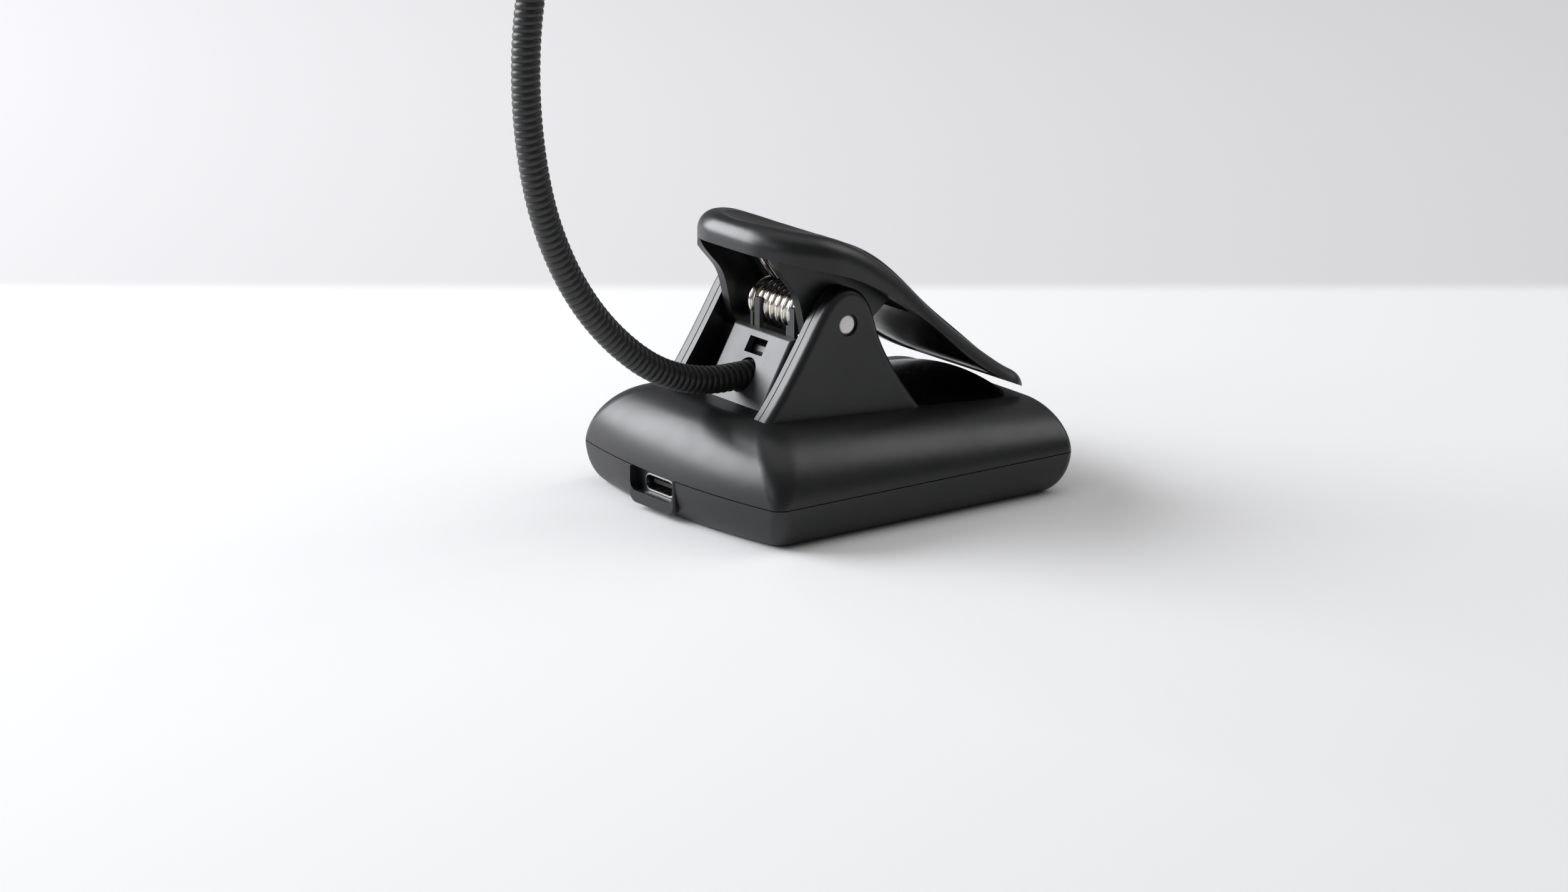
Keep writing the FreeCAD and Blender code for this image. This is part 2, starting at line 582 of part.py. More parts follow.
def lever():
    reach = LEVER_HALF + 2
    envelope = lever_envelope()
    body = envelope.cut(under(LEVER_RIM, -reach, reach))
    hollow = under(shifted(LEVER_TOP, LEVER_WALL), -reach, reach).common(lever_plan(LEVER_WALL))
    hollow = hollow.common(box(-FAR, PIN_X + JAW_START, -reach, reach, PIN_Z + DEEP, PIN_Z - DEEP))
    body = body.cut(hollow).cut(jaw_pocket(LEVER_WALL, LEVER_SKIN))
    body = body.fuse(raised_panel())
    for side in (-1, 1):
        body = body.fuse(lever_flange(side).common(envelope))
    x, z = DISH_LOWEST
    tilt = math.radians(DISH_TILT)
    middle = from_pin([(x + THUMB_DISH * math.sin(tilt), z - THUMB_DEPTH + THUMB_DISH * math.cos(tilt))])[0]
    return body.cut(Part.makeSphere(THUMB_DISH, middle)).cut(pin_hole(PIN_R + RUNNING))


def upper_grip_pad():
    reach = LEVER_HALF + 2
    rim = [(x, z + PAD_RECESS) for x, z in LEVER_RIM]
    pad = jaw_pocket(LEVER_WALL + CLOSE, LEVER_SKIN + CLOSE).cut(under(rim, -reach, reach))
    return max(pad.Solids, key=lambda s: s.Volume)


# ---------------------------------------------------------------- spring
def coil_end_y():
    return SPRING_PITCH * (SPRING_TURNS + 1) / 2


def torsion_spring():
    """The coil on the pin and the leg that stands on the casing."""
    start_y = -coil_end_y()
    helix = Part.makeHelix(SPRING_PITCH, SPRING_PITCH * SPRING_TURNS, SPRING_R)
    circle = Part.Wire(Part.makeCircle(SPRING_WIRE / 2, V(SPRING_R, 0, 0), Y_AXIS))
    coil = Part.Wire(helix).makePipeShell([circle], True, True)
    # mirrored and laid along Y, the wire starts at the rear of the pin and rises
    coil = coil.mirror(V(0, 0, 0), Y_AXIS)
    coil.rotate(V(0, 0, 0), V(1, 0, 0), -90)
    coil.translate(V(PIN_X, start_y, PIN_Z))
    foot = V(PIN_X + SPRING_R, start_y, top_at(PIN_X + SPRING_R) + SPRING_WIRE / 8)
    leg = cylinder(SPRING_WIRE / 2, foot, V(PIN_X + SPRING_R, start_y, PIN_Z))
    return coil.fuse(leg)


def spring_arm():
    """The coil's last turn and the arm that presses up on the thumb pad."""
    y = -coil_end_y() + SPRING_PITCH * (SPRING_TURNS + 1)
    circle = Part.Face(Part.Wire(Part.makeCircle(SPRING_WIRE / 2, V(PIN_X + SPRING_R, y, PIN_Z), V(0, 0, 1))))
    circle.rotate(V(PIN_X, y, PIN_Z), Y_AXIS, -SPRING_LEAVE)
    ring = circle.revolve(V(PIN_X, y, PIN_Z), Y_AXIS, 330)
    turn = math.radians(SPRING_LEAVE)
    start = V(PIN_X + SPRING_R * math.cos(turn), y, PIN_Z + SPRING_R * math.sin(turn))
    arm = cylinder(SPRING_WIRE / 2, start, start + V(-math.sin(turn), 0, math.cos(turn)) * SPRING_ARM)
    return ring.fuse(arm)


def hinge_pin():
    reach = EAR_OUTER - PIN_RECESS
    pin = cylinder(PIN_R, V(PIN_X, -reach, PIN_Z), V(PIN_X, reach, PIN_Z))
    rims = [e for e in pin.Edges if e.BoundBox.YLength < 1e-6 and e.Length > PIN_R]
    return pin.makeChamfer(0.15, rims)


# ---------------------------------------------------------------- holder
def face_x(z):
    """Where the holder's sloping face stands at height z."""
    foot = NECK_START + 3.6
    return foot + (z - NECK_Z) / math.tan(math.radians(HOLDER_LEAN))


def neck_cover():
    """The cover between the ears: a sloping face with a hole for the neck and a latch window."""
    half = HOLDER_WIDTH / 2
    foot = top_at(NECK_START + 1)
    side_top = CLAMP_TOP + 1.2
    front = [V(face_x(foot), 0, foot), V(face_x(LIP_Z), 0, LIP_Z)]
    bend = V(face_x(side_top) + SLOPED_WALL, 0, side_top)
    outer = front + [V(face_x(LIP_Z) + SLOPED_WALL, 0, LIP_Z), bend, V(HOLDER_REAR, 0, side_top),
                     V(HOLDER_REAR, 0, top_at(HOLDER_REAR)), front[0]]
    body = side_prism(polyline(outer), -half, half)
    low = foot - 2
    start = V(face_x(low) + SLOPED_WALL, 0, low)
    rear = HOLDER_REAR + 1
    inner = [start, bend, bend + V(0, 0, 1), V(rear, 0, side_top + 1), V(rear, 0, low), start]
    body = body.cut(side_prism(polyline(inner), -half + HOLDER_WALL, half - HOLDER_WALL))
    on_face = lambda e: abs(e.CenterOfMass.x - face_x(e.CenterOfMass.z)) < 1e-3
    at_side = lambda e: abs(abs(e.CenterOfMass.y) - half) < 1e-6 and e.Length > HOLDER_HEIGHT / 2
    at_lip = lambda e: abs(e.CenterOfMass.z - LIP_Z) < 1e-6
    body = body.makeFillet(0.7, [e for e in body.Edges if on_face(e) and (at_side(e) or at_lip(e))])
    body = body.cut(cylinder(NECK_R + HOLDER_HOLE, V(NECK_START - 4, 0, NECK_Z), V(HOLDER_REAR, 0, NECK_Z)))
    window = box(-1, WINDOW_HEIGHT - 1, -WINDOW_WIDTH / 2, WINDOW_WIDTH / 2, -3, 3)
    window.rotate(V(0, 0, 0), Y_AXIS, -HOLDER_LEAN)
    middle = LIP_Z - WINDOW_DROP
    window.translate(V(face_x(middle), 0, middle))
    return body.cut(window)


def neck_clamp():
    """The inner clamp: it grips the neck's ferrule and carries two fingers and the cover's latch."""
    front = face_x(LIP_Z) + SLOPED_WALL + 0.1
    half = HOLDER_WIDTH / 2 - HOLDER_WALL - 0.1
    low = top_at(front)
    body = side_prism(polyline([V(front, 0, low), V(front, 0, CLAMP_TOP), V(HOLDER_REAR, 0, CLAMP_TOP),
                                V(HOLDER_REAR, 0, top_at(HOLDER_REAR)), V(front, 0, low)]), -half, half)
    for y0, y1, drop in FINGERS:
        body = body.fuse(box(front, front + FINGER_THICK, y0, y1, low + 1, LIP_Z + FINGER_RISE - drop))
    window_z = LIP_Z - WINDOW_DROP
    reach = WINDOW_WIDTH / 2 - 0.2
    over_neck = NECK_Z + NECK_R + 0.2
    latch = box(face_x(window_z) + SLOPED_WALL, front + FINGER_THICK, -reach, reach, over_neck, window_z)
    skin = SLOPED_WALL + 0.5
    ahead = [V(face_x(0) - 20, 0, 0), V(face_x(0) + skin, 0, 0), V(face_x(60) + skin, 0, 60),
             V(face_x(0) - 20, 0, 60), V(face_x(0) - 20, 0, 0)]
    body = body.fuse(latch.cut(side_prism(polyline(ahead), -half, half)))
    bore_end = V(HOLDER_REAR + 1, 0, NECK_Z)
    body = body.cut(cylinder(NECK_R + FERRULE_WALL + CLOSE, V(front - 1, 0, NECK_Z), bore_end))
    for x, y in clamp_screw_places():
        body = body.cut(cylinder(SCREW_DIAMETER / 2, V(x, y, 0), V(x, y, CLAMP_TOP - 1.0)))
    return body.cut(pin_hole(SPRING_R + SPRING_WIRE / 2 + COIL_ROOM))


def neck_ferrule():
    start = V(NECK_ANCHOR, 0, NECK_Z)
    end = V(NECK_ANCHOR - FERRULE_LENGTH + 0.4, 0, NECK_Z)
    return cylinder(NECK_R + FERRULE_WALL, start, end).cut(cylinder(NECK_R, start, end))


# ---------------------------------------------------------------- neck
def neck_frames():
    """The neck's bending points, each with the heading of the neck there, in radians from +X."""
    x, z, heading = NECK_START, NECK_Z, math.pi
    frames = [(x, z, heading)]
    for turn in NECK_TURNS:
        step = math.radians(turn)
        radius = NECK_LINK / step
        cx, cz = x + radius * math.sin(heading), z - radius * math.cos(heading)
        heading -= step
        x, z = cx - radius * math.sin(heading), cz + radius * math.cos(heading)
        frames.append((x, z, heading))
    return frames


def ball(place, radius):
    return Part.makeSphere(radius, V(place[0], 0, place[1]))


def neck_root(first):
    """The fixed length of neck, from the ferrule to the first bending point."""
    tube = cylinder(NECK_R, V(NECK_ANCHOR, 0, NECK_Z), V(first[0], 0, NECK_Z))
    return tube.fuse(ball(first, NECK_R - BALL_CLEARANCE))


def neck_link(here, there, turn, last):
    """One length of neck between two bending points: a socket at its start, a ball at its end."""
    x, z, heading = here
    radius = NECK_LINK / math.radians(turn)
    centre = V(x + radius * math.sin(heading), 0, z - radius * math.cos(heading))
    lead = math.degrees(SOCKET_START / radius)
    ring = Part.makeCircle(NECK_R, V(x, 0, z), V(math.cos(heading), 0, math.sin(heading)))
    face = Part.Face(Part.Wire(ring))
    face.rotate(centre, Y_AXIS, lead)
    link = face.revolve(centre, Y_AXIS, turn - lead)
    link = link.cut(ball(here, NECK_R + BALL_CLEARANCE))
    return link if last else link.fuse(ball(there, NECK_R - BALL_CLEARANCE))


# ---------------------------------------------------------------- head, built along its own axes
# x runs on from the neck's end, z is the head's back, and the light leaves downwards
def head_outline(inset):
    reach = HEAD_LENGTH / 2 - inset
    corner = HEAD_CORNER - inset
    wire = outline(reach, reach, HEAD_WIDTH / 2 - inset, HEAD_BOW, HEAD_BOW, corner, corner)
    wire.translate(V(HEAD_MIDDLE, 0, 0))
    return wire


def button_places():
    for side in (-1, 1):
        yield HEAD_MIDDLE - BUTTON_BACK + side * BUTTON_SPACING / 2


def head_screw_places():
    for x in (HEAD_MIDDLE - HEAD_SCREW_X, HEAD_MIDDLE + HEAD_SCREW_X):
        for side in (-1, 1):
            yield x, side * HEAD_SCREW_Y


def collar_hole(grow):
    return cylinder(NECK_R + COLLAR_WALL + grow, V(-20, 0, 0), V(COLLAR_END, 0, 0))


def head_back():
    block = plan_prism(head_outline(0), 0, HEAD_BACK)
    rim = max(block.Faces, key=lambda f: f.CenterOfMass.z).Edges
    block = block.makeFillet(HEAD_ROUND, rim)
    shell = block.cut(plan_prism(head_outline(HEAD_WALL), -1, HEAD_BACK - HEAD_WALL))
    for x, y in head_screw_places():
        shell = shell.fuse(cylinder(HEAD_BOSS_R, V(x, y, 0), V(x, y, HEAD_BACK - HEAD_WALL / 2)))
        shell = shell.cut(cylinder(HEAD_SCREW_R, V(x, y, -1), V(x, y, HEAD_BACK - HEAD_WALL)))
    for x in button_places():
        shell = shell.cut(cylinder(BUTTON_DIAMETER / 2 + BUTTON_FIT, V(x, 0, 0), V(x, 0, 20)))
    return shell.cut(collar_hole(CLOSE))


def head_bezel():
    block = plan_prism(head_outline(0), -HEAD_FRONT, 0)
    rim = min(block.Faces, key=lambda f: f.CenterOfMass.z).Edges
    block = block.makeFillet(1.2, rim)
    shell = block.cut(plan_prism(head_outline(HEAD_WALL), -HEAD_FRONT + HEAD_WALL, 1))
    shell = shell.cut(plan_prism(head_outline(BEZEL_BORDER), -HEAD_FRONT - 1, 0))
    return shell.cut(collar_hole(CLOSE))


def diffuser():
    """The lens: a plate on the bezel's ledge with a step that fills the bezel's window."""
    ledge = -HEAD_FRONT + HEAD_WALL
    plate = plan_prism(head_outline(HEAD_WALL + 0.1), ledge, ledge + DIFFUSER_THICK - 0.6)
    step = plan_prism(head_outline(BEZEL_BORDER + 0.1), -HEAD_FRONT + 0.5, ledge)
    return plate.fuse(step)


def light_board():
    board = plan_prism(head_outline(HEAD_WALL + 0.8), BOARD_LOW, BOARD_LOW + LIGHT_BOARD_THICK)
    for x, y in head_screw_places():
        board = board.cut(cylinder(HEAD_SCREW_R + SCREW_PLAY, V(x, y, -HEAD_FRONT), V(x, y, HEAD_BACK)))
    return board


def light_diodes():
    chips = []
    for i in range(DIODES_LONG):
        for k in range(DIODES_WIDE):
            x = HEAD_MIDDLE + (i - (DIODES_LONG - 1) / 2) * DIODE_PITCH_X
            y = (k - (DIODES_WIDE - 1) / 2) * DIODE_PITCH_Y
            h = DIODE_SIZE / 2
            chips.append(box(x - h, x + h, y - h, y + h, BOARD_LOW - DIODE_THICK, BOARD_LOW))
    return Part.makeCompound(chips)


def board_screws():
    screws = []
    for x, y in head_screw_places():
        head = cylinder(2 * HEAD_SCREW_R, V(x, y, BOARD_LOW - 0.6), V(x, y, BOARD_LOW))
        shaft = cylinder(HEAD_SCREW_R, V(x, y, BOARD_LOW), V(x, y, HEAD_BACK - HEAD_WALL - 0.4))
        screws.append(head.fuse(shaft))
    return Part.makeCompound(screws)


def press_switches():
    bodies = []
    for x in button_places():
        h = SWITCH_HALF
        bodies.append(box(x - h, x + h, -h, h, BOARD_LOW + LIGHT_BOARD_THICK, SWITCH_TOP))
    return Part.makeCompound(bodies)


def button(x):
    """A round cap with a flange inside the shell and a stem over its switch."""
    under_shell = HEAD_BACK - HEAD_WALL
    cap = cylinder(BUTTON_DIAMETER / 2, V(x, 0, under_shell - 0.8), V(x, 0, HEAD_BACK + BUTTON_PROUD))
    rim = max(cap.Faces, key=lambda f: f.CenterOfMass.z).Edges
    cap = cap.makeFillet(0.5, rim)
    flange = cylinder(BUTTON_DIAMETER / 2 + 0.9, V(x, 0, under_shell - 0.8), V(x, 0, under_shell - 0.1))
    stem = cylinder(1.0, V(x, 0, SWITCH_TOP + BUTTON_TRAVEL + 0.05), V(x, 0, under_shell - 0.5))
    return fuse([cap, flange, stem])


def neck_collar():
    start = V(COLLAR_START, 0, 0)
    body = cylinder(NECK_R + COLLAR_WALL, start, V(COLLAR_END, 0, 0))
    rims = [e for e in body.Edges if e.BoundBox.XMax < COLLAR_START + 1e-6]
    body = body.makeFillet(0.8, rims)
    return body.cut(cylinder(NECK_R + COLLAR_FIT, start - V(1, 0, 0), V(0.1, 0, 0)))


def place_on_neck(shape, end):
    """From the head's own axes to the lamp's frame, at the neck's end."""
    x, z, heading = end
    shape.rotate(V(0, 0, 0), Y_AXIS, -math.degrees(heading))
    shape.translate(V(x, 0, z))
    return shape


# ---------------------------------------------------------------- power and fixings
def usb_receptacle():
    shell = slot_bar(USB_WIDTH, USB_HEIGHT, USB_FRONT, USB_FRONT + USB_LENGTH, PORT_OFFSET, PORT_Z)
    return shell.cut(slot_bar(USB_WIDTH - 2 * USB_SHEET, USB_HEIGHT - 2 * USB_SHEET, USB_FRONT - 1,
                              USB_FRONT + USB_LENGTH - USB_BACK, PORT_OFFSET, PORT_Z))


def usb_tongue():
    rear = USB_FRONT + USB_LENGTH - USB_BACK
    return box(rear - TONGUE_LENGTH, rear, PORT_OFFSET - TONGUE_WIDTH / 2, PORT_OFFSET + TONGUE_WIDTH / 2,
               PORT_Z - TONGUE_THICK / 2, PORT_Z + TONGUE_THICK / 2)


def charging_board():
    front = USB_FRONT + USB_LENGTH - 2.2
    return box(front, front + BOARD_LENGTH, PORT_OFFSET - BOARD_WIDTH / 2, PORT_OFFSET + BOARD_WIDTH / 2,
               BOARD_TOP - BOARD_THICK, BOARD_TOP)


def battery_cell():
    rear = CASE_REAR - WALL - FLOOR_INSET
    low = FLOOR_Z + WALL + 0.1
    block = box(rear - CELL_LENGTH, rear, -CELL_WIDTH / 2, CELL_WIDTH / 2, low, low + CELL_THICK)
    return block.makeFillet(1.2, [e for e in block.Edges if e.BoundBox.ZLength > 1])


def charge_light():
    """The light pipe, cut to end a little inside the casing's surface."""
    inside = box(-CASE_FRONT + FLOOR_INSET, FAR, -FAR, FAR, 0, SEAM_HEIGHT)
    return pipe_bar(0).common(lower_block(PIPE_SUNK).fuse(inside))


def screw(x, y, head_z, tip_z):
    head = cylinder(SCREW_HEAD / 2, V(x, y, head_z), V(x, y, head_z + SCREW_HEAD_THICK))
    cross = [box(x - 1.1, x + 1.1, y - 0.25, y + 0.25, head_z - 1, head_z + 0.5),
             box(x - 0.25, x + 0.25, y - 1.1, y + 1.1, head_z - 1, head_z + 0.5)]
    shaft = cylinder(SCREW_DIAMETER / 2, V(x, y, head_z + SCREW_HEAD_THICK), V(x, y, tip_z))
    return head.fuse(shaft).cut(cross[0].fuse(cross[1]))


def casing_screws():
    tip = CASE_TOP - SCREW_COVER - 0.4
    return Part.makeCompound([screw(x, y, FLOOR_Z + SCREW_SUNK, tip) for x, y in screw_places()])


def clamp_screws():
    head_z = CASE_TOP - CLAMP_BOSS - SCREW_HEAD_THICK
    return Part.makeCompound([screw(x, y, head_z, CLAMP_TOP - 1.2) for x, y in clamp_screw_places()])


def foot_pad(grow):
    """The rubber pad that the lamp stands on."""
    reach = FOOT_LENGTH / 2 + grow
    corner = FOOT_CORNER + grow
    wire = outline(reach, reach, FOOT_WIDTH / 2 + grow, FOOT_BOW, FOOT_BOW, corner, corner)
    return plan_prism(wire, 0, FLOOR_Z + FOOT_SUNK + grow)


def main():
    os.makedirs("parts", exist_ok=True)
    save("upper_casing", upper_casing())
    save("lower_casing", lower_casing())
    save("lower_grip_pad", pad_block(0))
    save("hinge_pin", hinge_pin())
    save("torsion_spring", torsion_spring())
    save("spring_arm", spring_arm())
    save("lever", lever())
    save("upper_grip_pad", upper_grip_pad())
    save("neck_cover", neck_cover())
    save("neck_clamp", neck_clamp())
    save("clamp_screws", clamp_screws())
    save("neck_ferrule", neck_ferrule())
    save("usb_receptacle", usb_receptacle())
    save("usb_tongue", usb_tongue())
    save("charging_board", charging_board())
    save("battery_cell", battery_cell())
    save("charge_light", charge_light())
    save("casing_screws", casing_screws())
    save("foot_pad", foot_pad(0))

    frames = neck_frames()
    save("neck_root", neck_root(frames[0]))
    count = len(NECK_TURNS)
    for i, turn in enumerate(NECK_TURNS):
        link = neck_link(frames[i], frames[i + 1], turn, i == count - 1)
        save("neck_link_%02d" % (i + 1), link)
    end = frames[-1]
    left, right = button_places()
    head = {"neck_collar": neck_collar(), "head_back": head_back(), "head_bezel": head_bezel(),
            "diffuser": diffuser(), "light_board": light_board(), "light_diodes": light_diodes(),
            "board_screws": board_screws(), "press_switches": press_switches(),
            "power_button": button(left), "tone_button": button(right)}
    for name, shape in head.items():
        save(name, place_on_neck(shape, end))


main()
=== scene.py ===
"""Clip on reading lamp: its finishes, the wound neck, the port's contacts and a plain studio.

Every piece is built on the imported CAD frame.
"""
import json
import math

import bpy
from mathutils import Matrix, Vector


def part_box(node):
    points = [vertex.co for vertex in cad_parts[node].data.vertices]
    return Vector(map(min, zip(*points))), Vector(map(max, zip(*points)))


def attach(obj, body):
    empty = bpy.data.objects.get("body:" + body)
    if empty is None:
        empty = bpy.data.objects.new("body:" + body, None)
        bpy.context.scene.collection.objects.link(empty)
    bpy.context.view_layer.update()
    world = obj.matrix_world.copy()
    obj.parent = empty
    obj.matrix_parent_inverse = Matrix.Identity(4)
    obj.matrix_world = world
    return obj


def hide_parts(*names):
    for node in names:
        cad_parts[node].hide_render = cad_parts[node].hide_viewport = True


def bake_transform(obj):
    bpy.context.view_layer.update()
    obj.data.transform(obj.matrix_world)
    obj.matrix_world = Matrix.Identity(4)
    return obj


bl_info = {
    "name": "Clip On Reading Lamp",
    "version": (1, 0, 0),
    "blender": (4, 5, 0),
    "location": "View3D > Sidebar > Lamp",
    "description": "Winds the neck, fits the port's contacts, finishes each piece and lights a plain studio",
    "category": "Object",
}

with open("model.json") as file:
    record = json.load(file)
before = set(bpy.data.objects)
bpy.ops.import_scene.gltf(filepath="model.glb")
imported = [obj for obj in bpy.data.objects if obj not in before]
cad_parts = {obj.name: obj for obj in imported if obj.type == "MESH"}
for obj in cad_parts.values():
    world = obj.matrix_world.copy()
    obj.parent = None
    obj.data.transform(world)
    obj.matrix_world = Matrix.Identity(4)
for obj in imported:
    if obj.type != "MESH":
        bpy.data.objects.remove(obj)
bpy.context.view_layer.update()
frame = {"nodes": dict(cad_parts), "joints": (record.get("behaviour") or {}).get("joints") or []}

MM = 0.001

# The neck, from the holder to the lamp head: one turn in degrees for each link of the CAD neck.
LINK_TURNS = (37, 22, 19, 13, 14, 15, 18, 20, 21, 20, 16)
LINK_LENGTH = 20 * MM
HALF_LINK = LINK_LENGTH / 2
NECK_RADIUS = 2.5 * MM
NECK_LINKS = ("neck_root",) + tuple(f"neck_link_{n:02d}" for n in range(1, 12))
NECK_JOINTS = [j for j in frame["joints"] if j["name"].startswith("neck_")]
ROUTE_TOLERANCE = 0.05 * MM
RIB_HALF_ANGLE = math.radians(36)
RIB_CIRCLE_POINTS = 30       # 12 degrees apart, so that points fall on the two groove edges
RIB_TURN_STEPS = 28
RIB_EDGE_SLACK = 0.01 * MM   # keeps the rib's two edge points when the rest of its circle goes
SPARE_TURNS = 2              # wound past the length, and cut away
MERGE_REACH = 0.001 * MM
CUT_TOLERANCE = 0.0001 * MM
GUIDE_STEPS = 48
SMOOTH_ANGLE = math.radians(50)

# The receptacle's contacts: strips along the tongue, on its upper and lower faces.
CONTACT_COUNT = 8
CONTACT_WIDTH = 0.36 * MM
CONTACT_HEIGHT = 0.06 * MM
CONTACT_LENGTH = 4.6 * MM
CONTACT_SETBACK = 0.5 * MM
CONTACT_MARGIN = 0.55 * MM
CONTACT_EDGE = 0.02 * MM
CONTACT_EDGE_STEPS = 2

# Sizes of the patterns in the finishes.
STAIN_SIZE = 6 * MM
FLECK_SIZE = 0.4 * MM
TRACK_SIZE = 4 * MM
VIA_SPACING = 3 * MM
PRISM_SIZE = 1.2 * MM
MILK_SIZE = 9 * MM
GRIT_SIZE = 0.3 * MM
FLOW_SIZE = 2 * MM
FIBRE_SIZE = 1.5 * MM
OPAL_SPREAD = (2 * MM, 2 * MM, 1.8 * MM)

# The view: the camera's own right, up and back directions, and where it stands.
CAMERA_RIGHT = (0.8039, -0.5948, 0.0)
CAMERA_UP = (0.1610, 0.2175, 0.9627)
CAMERA_BACK = (-0.5726, -0.7739, 0.2706)
CAMERA_PLACE = (-0.5223, -0.6923, 0.2509)
CAMERA_LENS = 116.2
CAMERA_SENSOR = 36.0
CAMERA_NEAREST = 0.01

# The stage: the floor's change of grey, measured away from the camera, and the soft lights.
FLOOR_CHANGE = (0.135, 0.147)
FLOOR_CUTS = 3
SURROUND_STRENGTH = 1.0
# Each light's name, place, aim, width and height, the stage property with its power, and its colour.
SOFTBOXES = (
    ("light_back_left", (-0.64, 0.88, 0.54), (0, 0, 0.03), (1.0, 0.8), "key_watts", "#fbfcff"),
    ("light_overhead", (0.1, 0.1, 1.5), (0, 0, 0), (1.3, 1.3), "top_watts", "#ffffff"),
    ("light_front_left", (-1.1, -0.1, 0.55), (0, 0, 0.05), (0.5, 0.5), "fill_watts", "#fbfcff"),
    ("light_right", (1.3, -0.3, 1.2), (0.1, -0.1, 0), (1.2, 1.2), "right_watts", "#ffffff"),
)


def from_hex(code):
    """An sRGB hex colour as linear red, green, blue and alpha."""
    parts = [int(code[i:i + 2], 16) / 255 for i in (1, 3, 5)]
    return tuple(p / 12.92 if p <= 0.04045 else ((p + 0.055) / 1.055) ** 2.4 for p in parts) + (1.0,)


def add_node(tree, kind, settings=None, links=None):
    """Adds one shader node, sets its values and joins its inputs."""
    node = tree.nodes.new(kind)
    for key, value in (settings or {}).items():
        if isinstance(key, int) or key in node.inputs:
            node.inputs[key].default_value = value
        else:
            setattr(node, key, value)
    for key, source in (links or {}).items():
        tree.links.new(source, node.inputs[key])
    return node


def deselect_all():
    """Leaves nothing selected, and object mode on."""
    if bpy.context.mode != "OBJECT":
        bpy.ops.object.mode_set(mode="OBJECT")
    bpy.ops.object.select_all(action="DESELECT")


def make_only(piece):
    """Makes a piece the one selected and active object."""
    deselect_all()
    piece.select_set(True)
    bpy.context.view_layer.objects.active = piece


def apply_modifier(piece, name, kind, **settings):
    """Adds a modifier, sets it and applies it."""
    modifier = piece.modifiers.new(name, kind)
    for key, value in settings.items():
        setattr(modifier, key, value)
    make_only(piece)
    bpy.ops.object.modifier_apply(modifier=modifier.name)


def wear(piece, finish):
    """Gives every material slot of a piece one finish."""
    if not piece.material_slots:
        piece.data.materials.append(finish)
    for slot in piece.material_slots:
        slot.material = finish


# ---------------------------------------------------------------- finishes


def new_finish(name):
    """A new material, its node tree, its shader and the object coordinates that every pattern starts from."""
    finish = bpy.data.materials.new(name)
    finish.use_nodes = True
    tree = finish.node_tree
    shader = tree.nodes["Principled BSDF"]
    place = add_node(tree, "ShaderNodeTexCoord")
    return finish, tree, shader, place.outputs["Object"]


def grained_polymer(name, dark, pale, smooth, rough, grain, relief, cloud=14 * MM, ior=1.5):
    """A moulded plastic or rubber: the mould's grain as relief, and a gloss that drifts with handling."""
    finish, tree, shader, at = new_finish(name)
    pits = add_node(tree, "ShaderNodeTexNoise",
                    {"Scale": 1 / grain, "Detail": 3.0, "Roughness": 0.6}, {"Vector": at})
    drift = add_node(tree, "ShaderNodeTexNoise",
                     {"Scale": 1 / cloud, "Detail": 4.0, "Roughness": 0.55}, {"Vector": at})
    tint = add_node(tree, "ShaderNodeMix",
                    {"data_type": "RGBA", 6: from_hex(dark), 7: from_hex(pale)},
                    {0: pits.outputs["Fac"]})
    gloss = add_node(tree, "ShaderNodeMapRange",
                     {"From Min": 0.3, "From Max": 0.7, "To Min": smooth, "To Max": rough},
                     {"Value": drift.outputs["Fac"]})
    grain_relief = add_node(tree, "ShaderNodeBump",
                            {"Strength": 1.0, "Distance": relief}, {"Height": pits.outputs["Fac"]})
    tree.links.new(tint.outputs[2], shader.inputs["Base Color"])
    tree.links.new(gloss.outputs["Result"], shader.inputs["Roughness"])
    tree.links.new(grain_relief.outputs["Normal"], shader.inputs["Normal"])
    shader.inputs["IOR"].default_value = ior
    return finish


def drawn_metal(name, dark, pale, smooth, rough, line, stretch, relief):
    """A bare or plated metal with the fine lines that drawing, turning or rolling leaves along one way."""
    finish, tree, shader, at = new_finish(name)
    along = add_node(tree, "ShaderNodeMapping", {"Scale": stretch}, {"Vector": at})
    lines = add_node(tree, "ShaderNodeTexNoise",
                     {"Scale": 1 / line, "Detail": 2.0}, {"Vector": along.outputs["Vector"]})
    stain = add_node(tree, "ShaderNodeTexNoise",
                     {"Scale": 1 / STAIN_SIZE, "Detail": 3.0}, {"Vector": at})
    tint = add_node(tree, "ShaderNodeMix",
                    {"data_type": "RGBA", 6: from_hex(dark), 7: from_hex(pale)},
                    {0: stain.outputs["Fac"]})
    gloss = add_node(tree, "ShaderNodeMapRange",
                     {"From Min": 0.35, "From Max": 0.65, "To Min": smooth, "To Max": rough},
                     {"Value": lines.outputs["Fac"]})
    marks = add_node(tree, "ShaderNodeBump",
                     {"Strength": 1.0, "Distance": relief}, {"Height": lines.outputs["Fac"]})
    tree.links.new(tint.outputs[2], shader.inputs["Base Color"])
    tree.links.new(gloss.outputs["Result"], shader.inputs["Roughness"])
    tree.links.new(marks.outputs["Normal"], shader.inputs["Normal"])
    shader.inputs["Metallic"].default_value = 1.0
    return finish


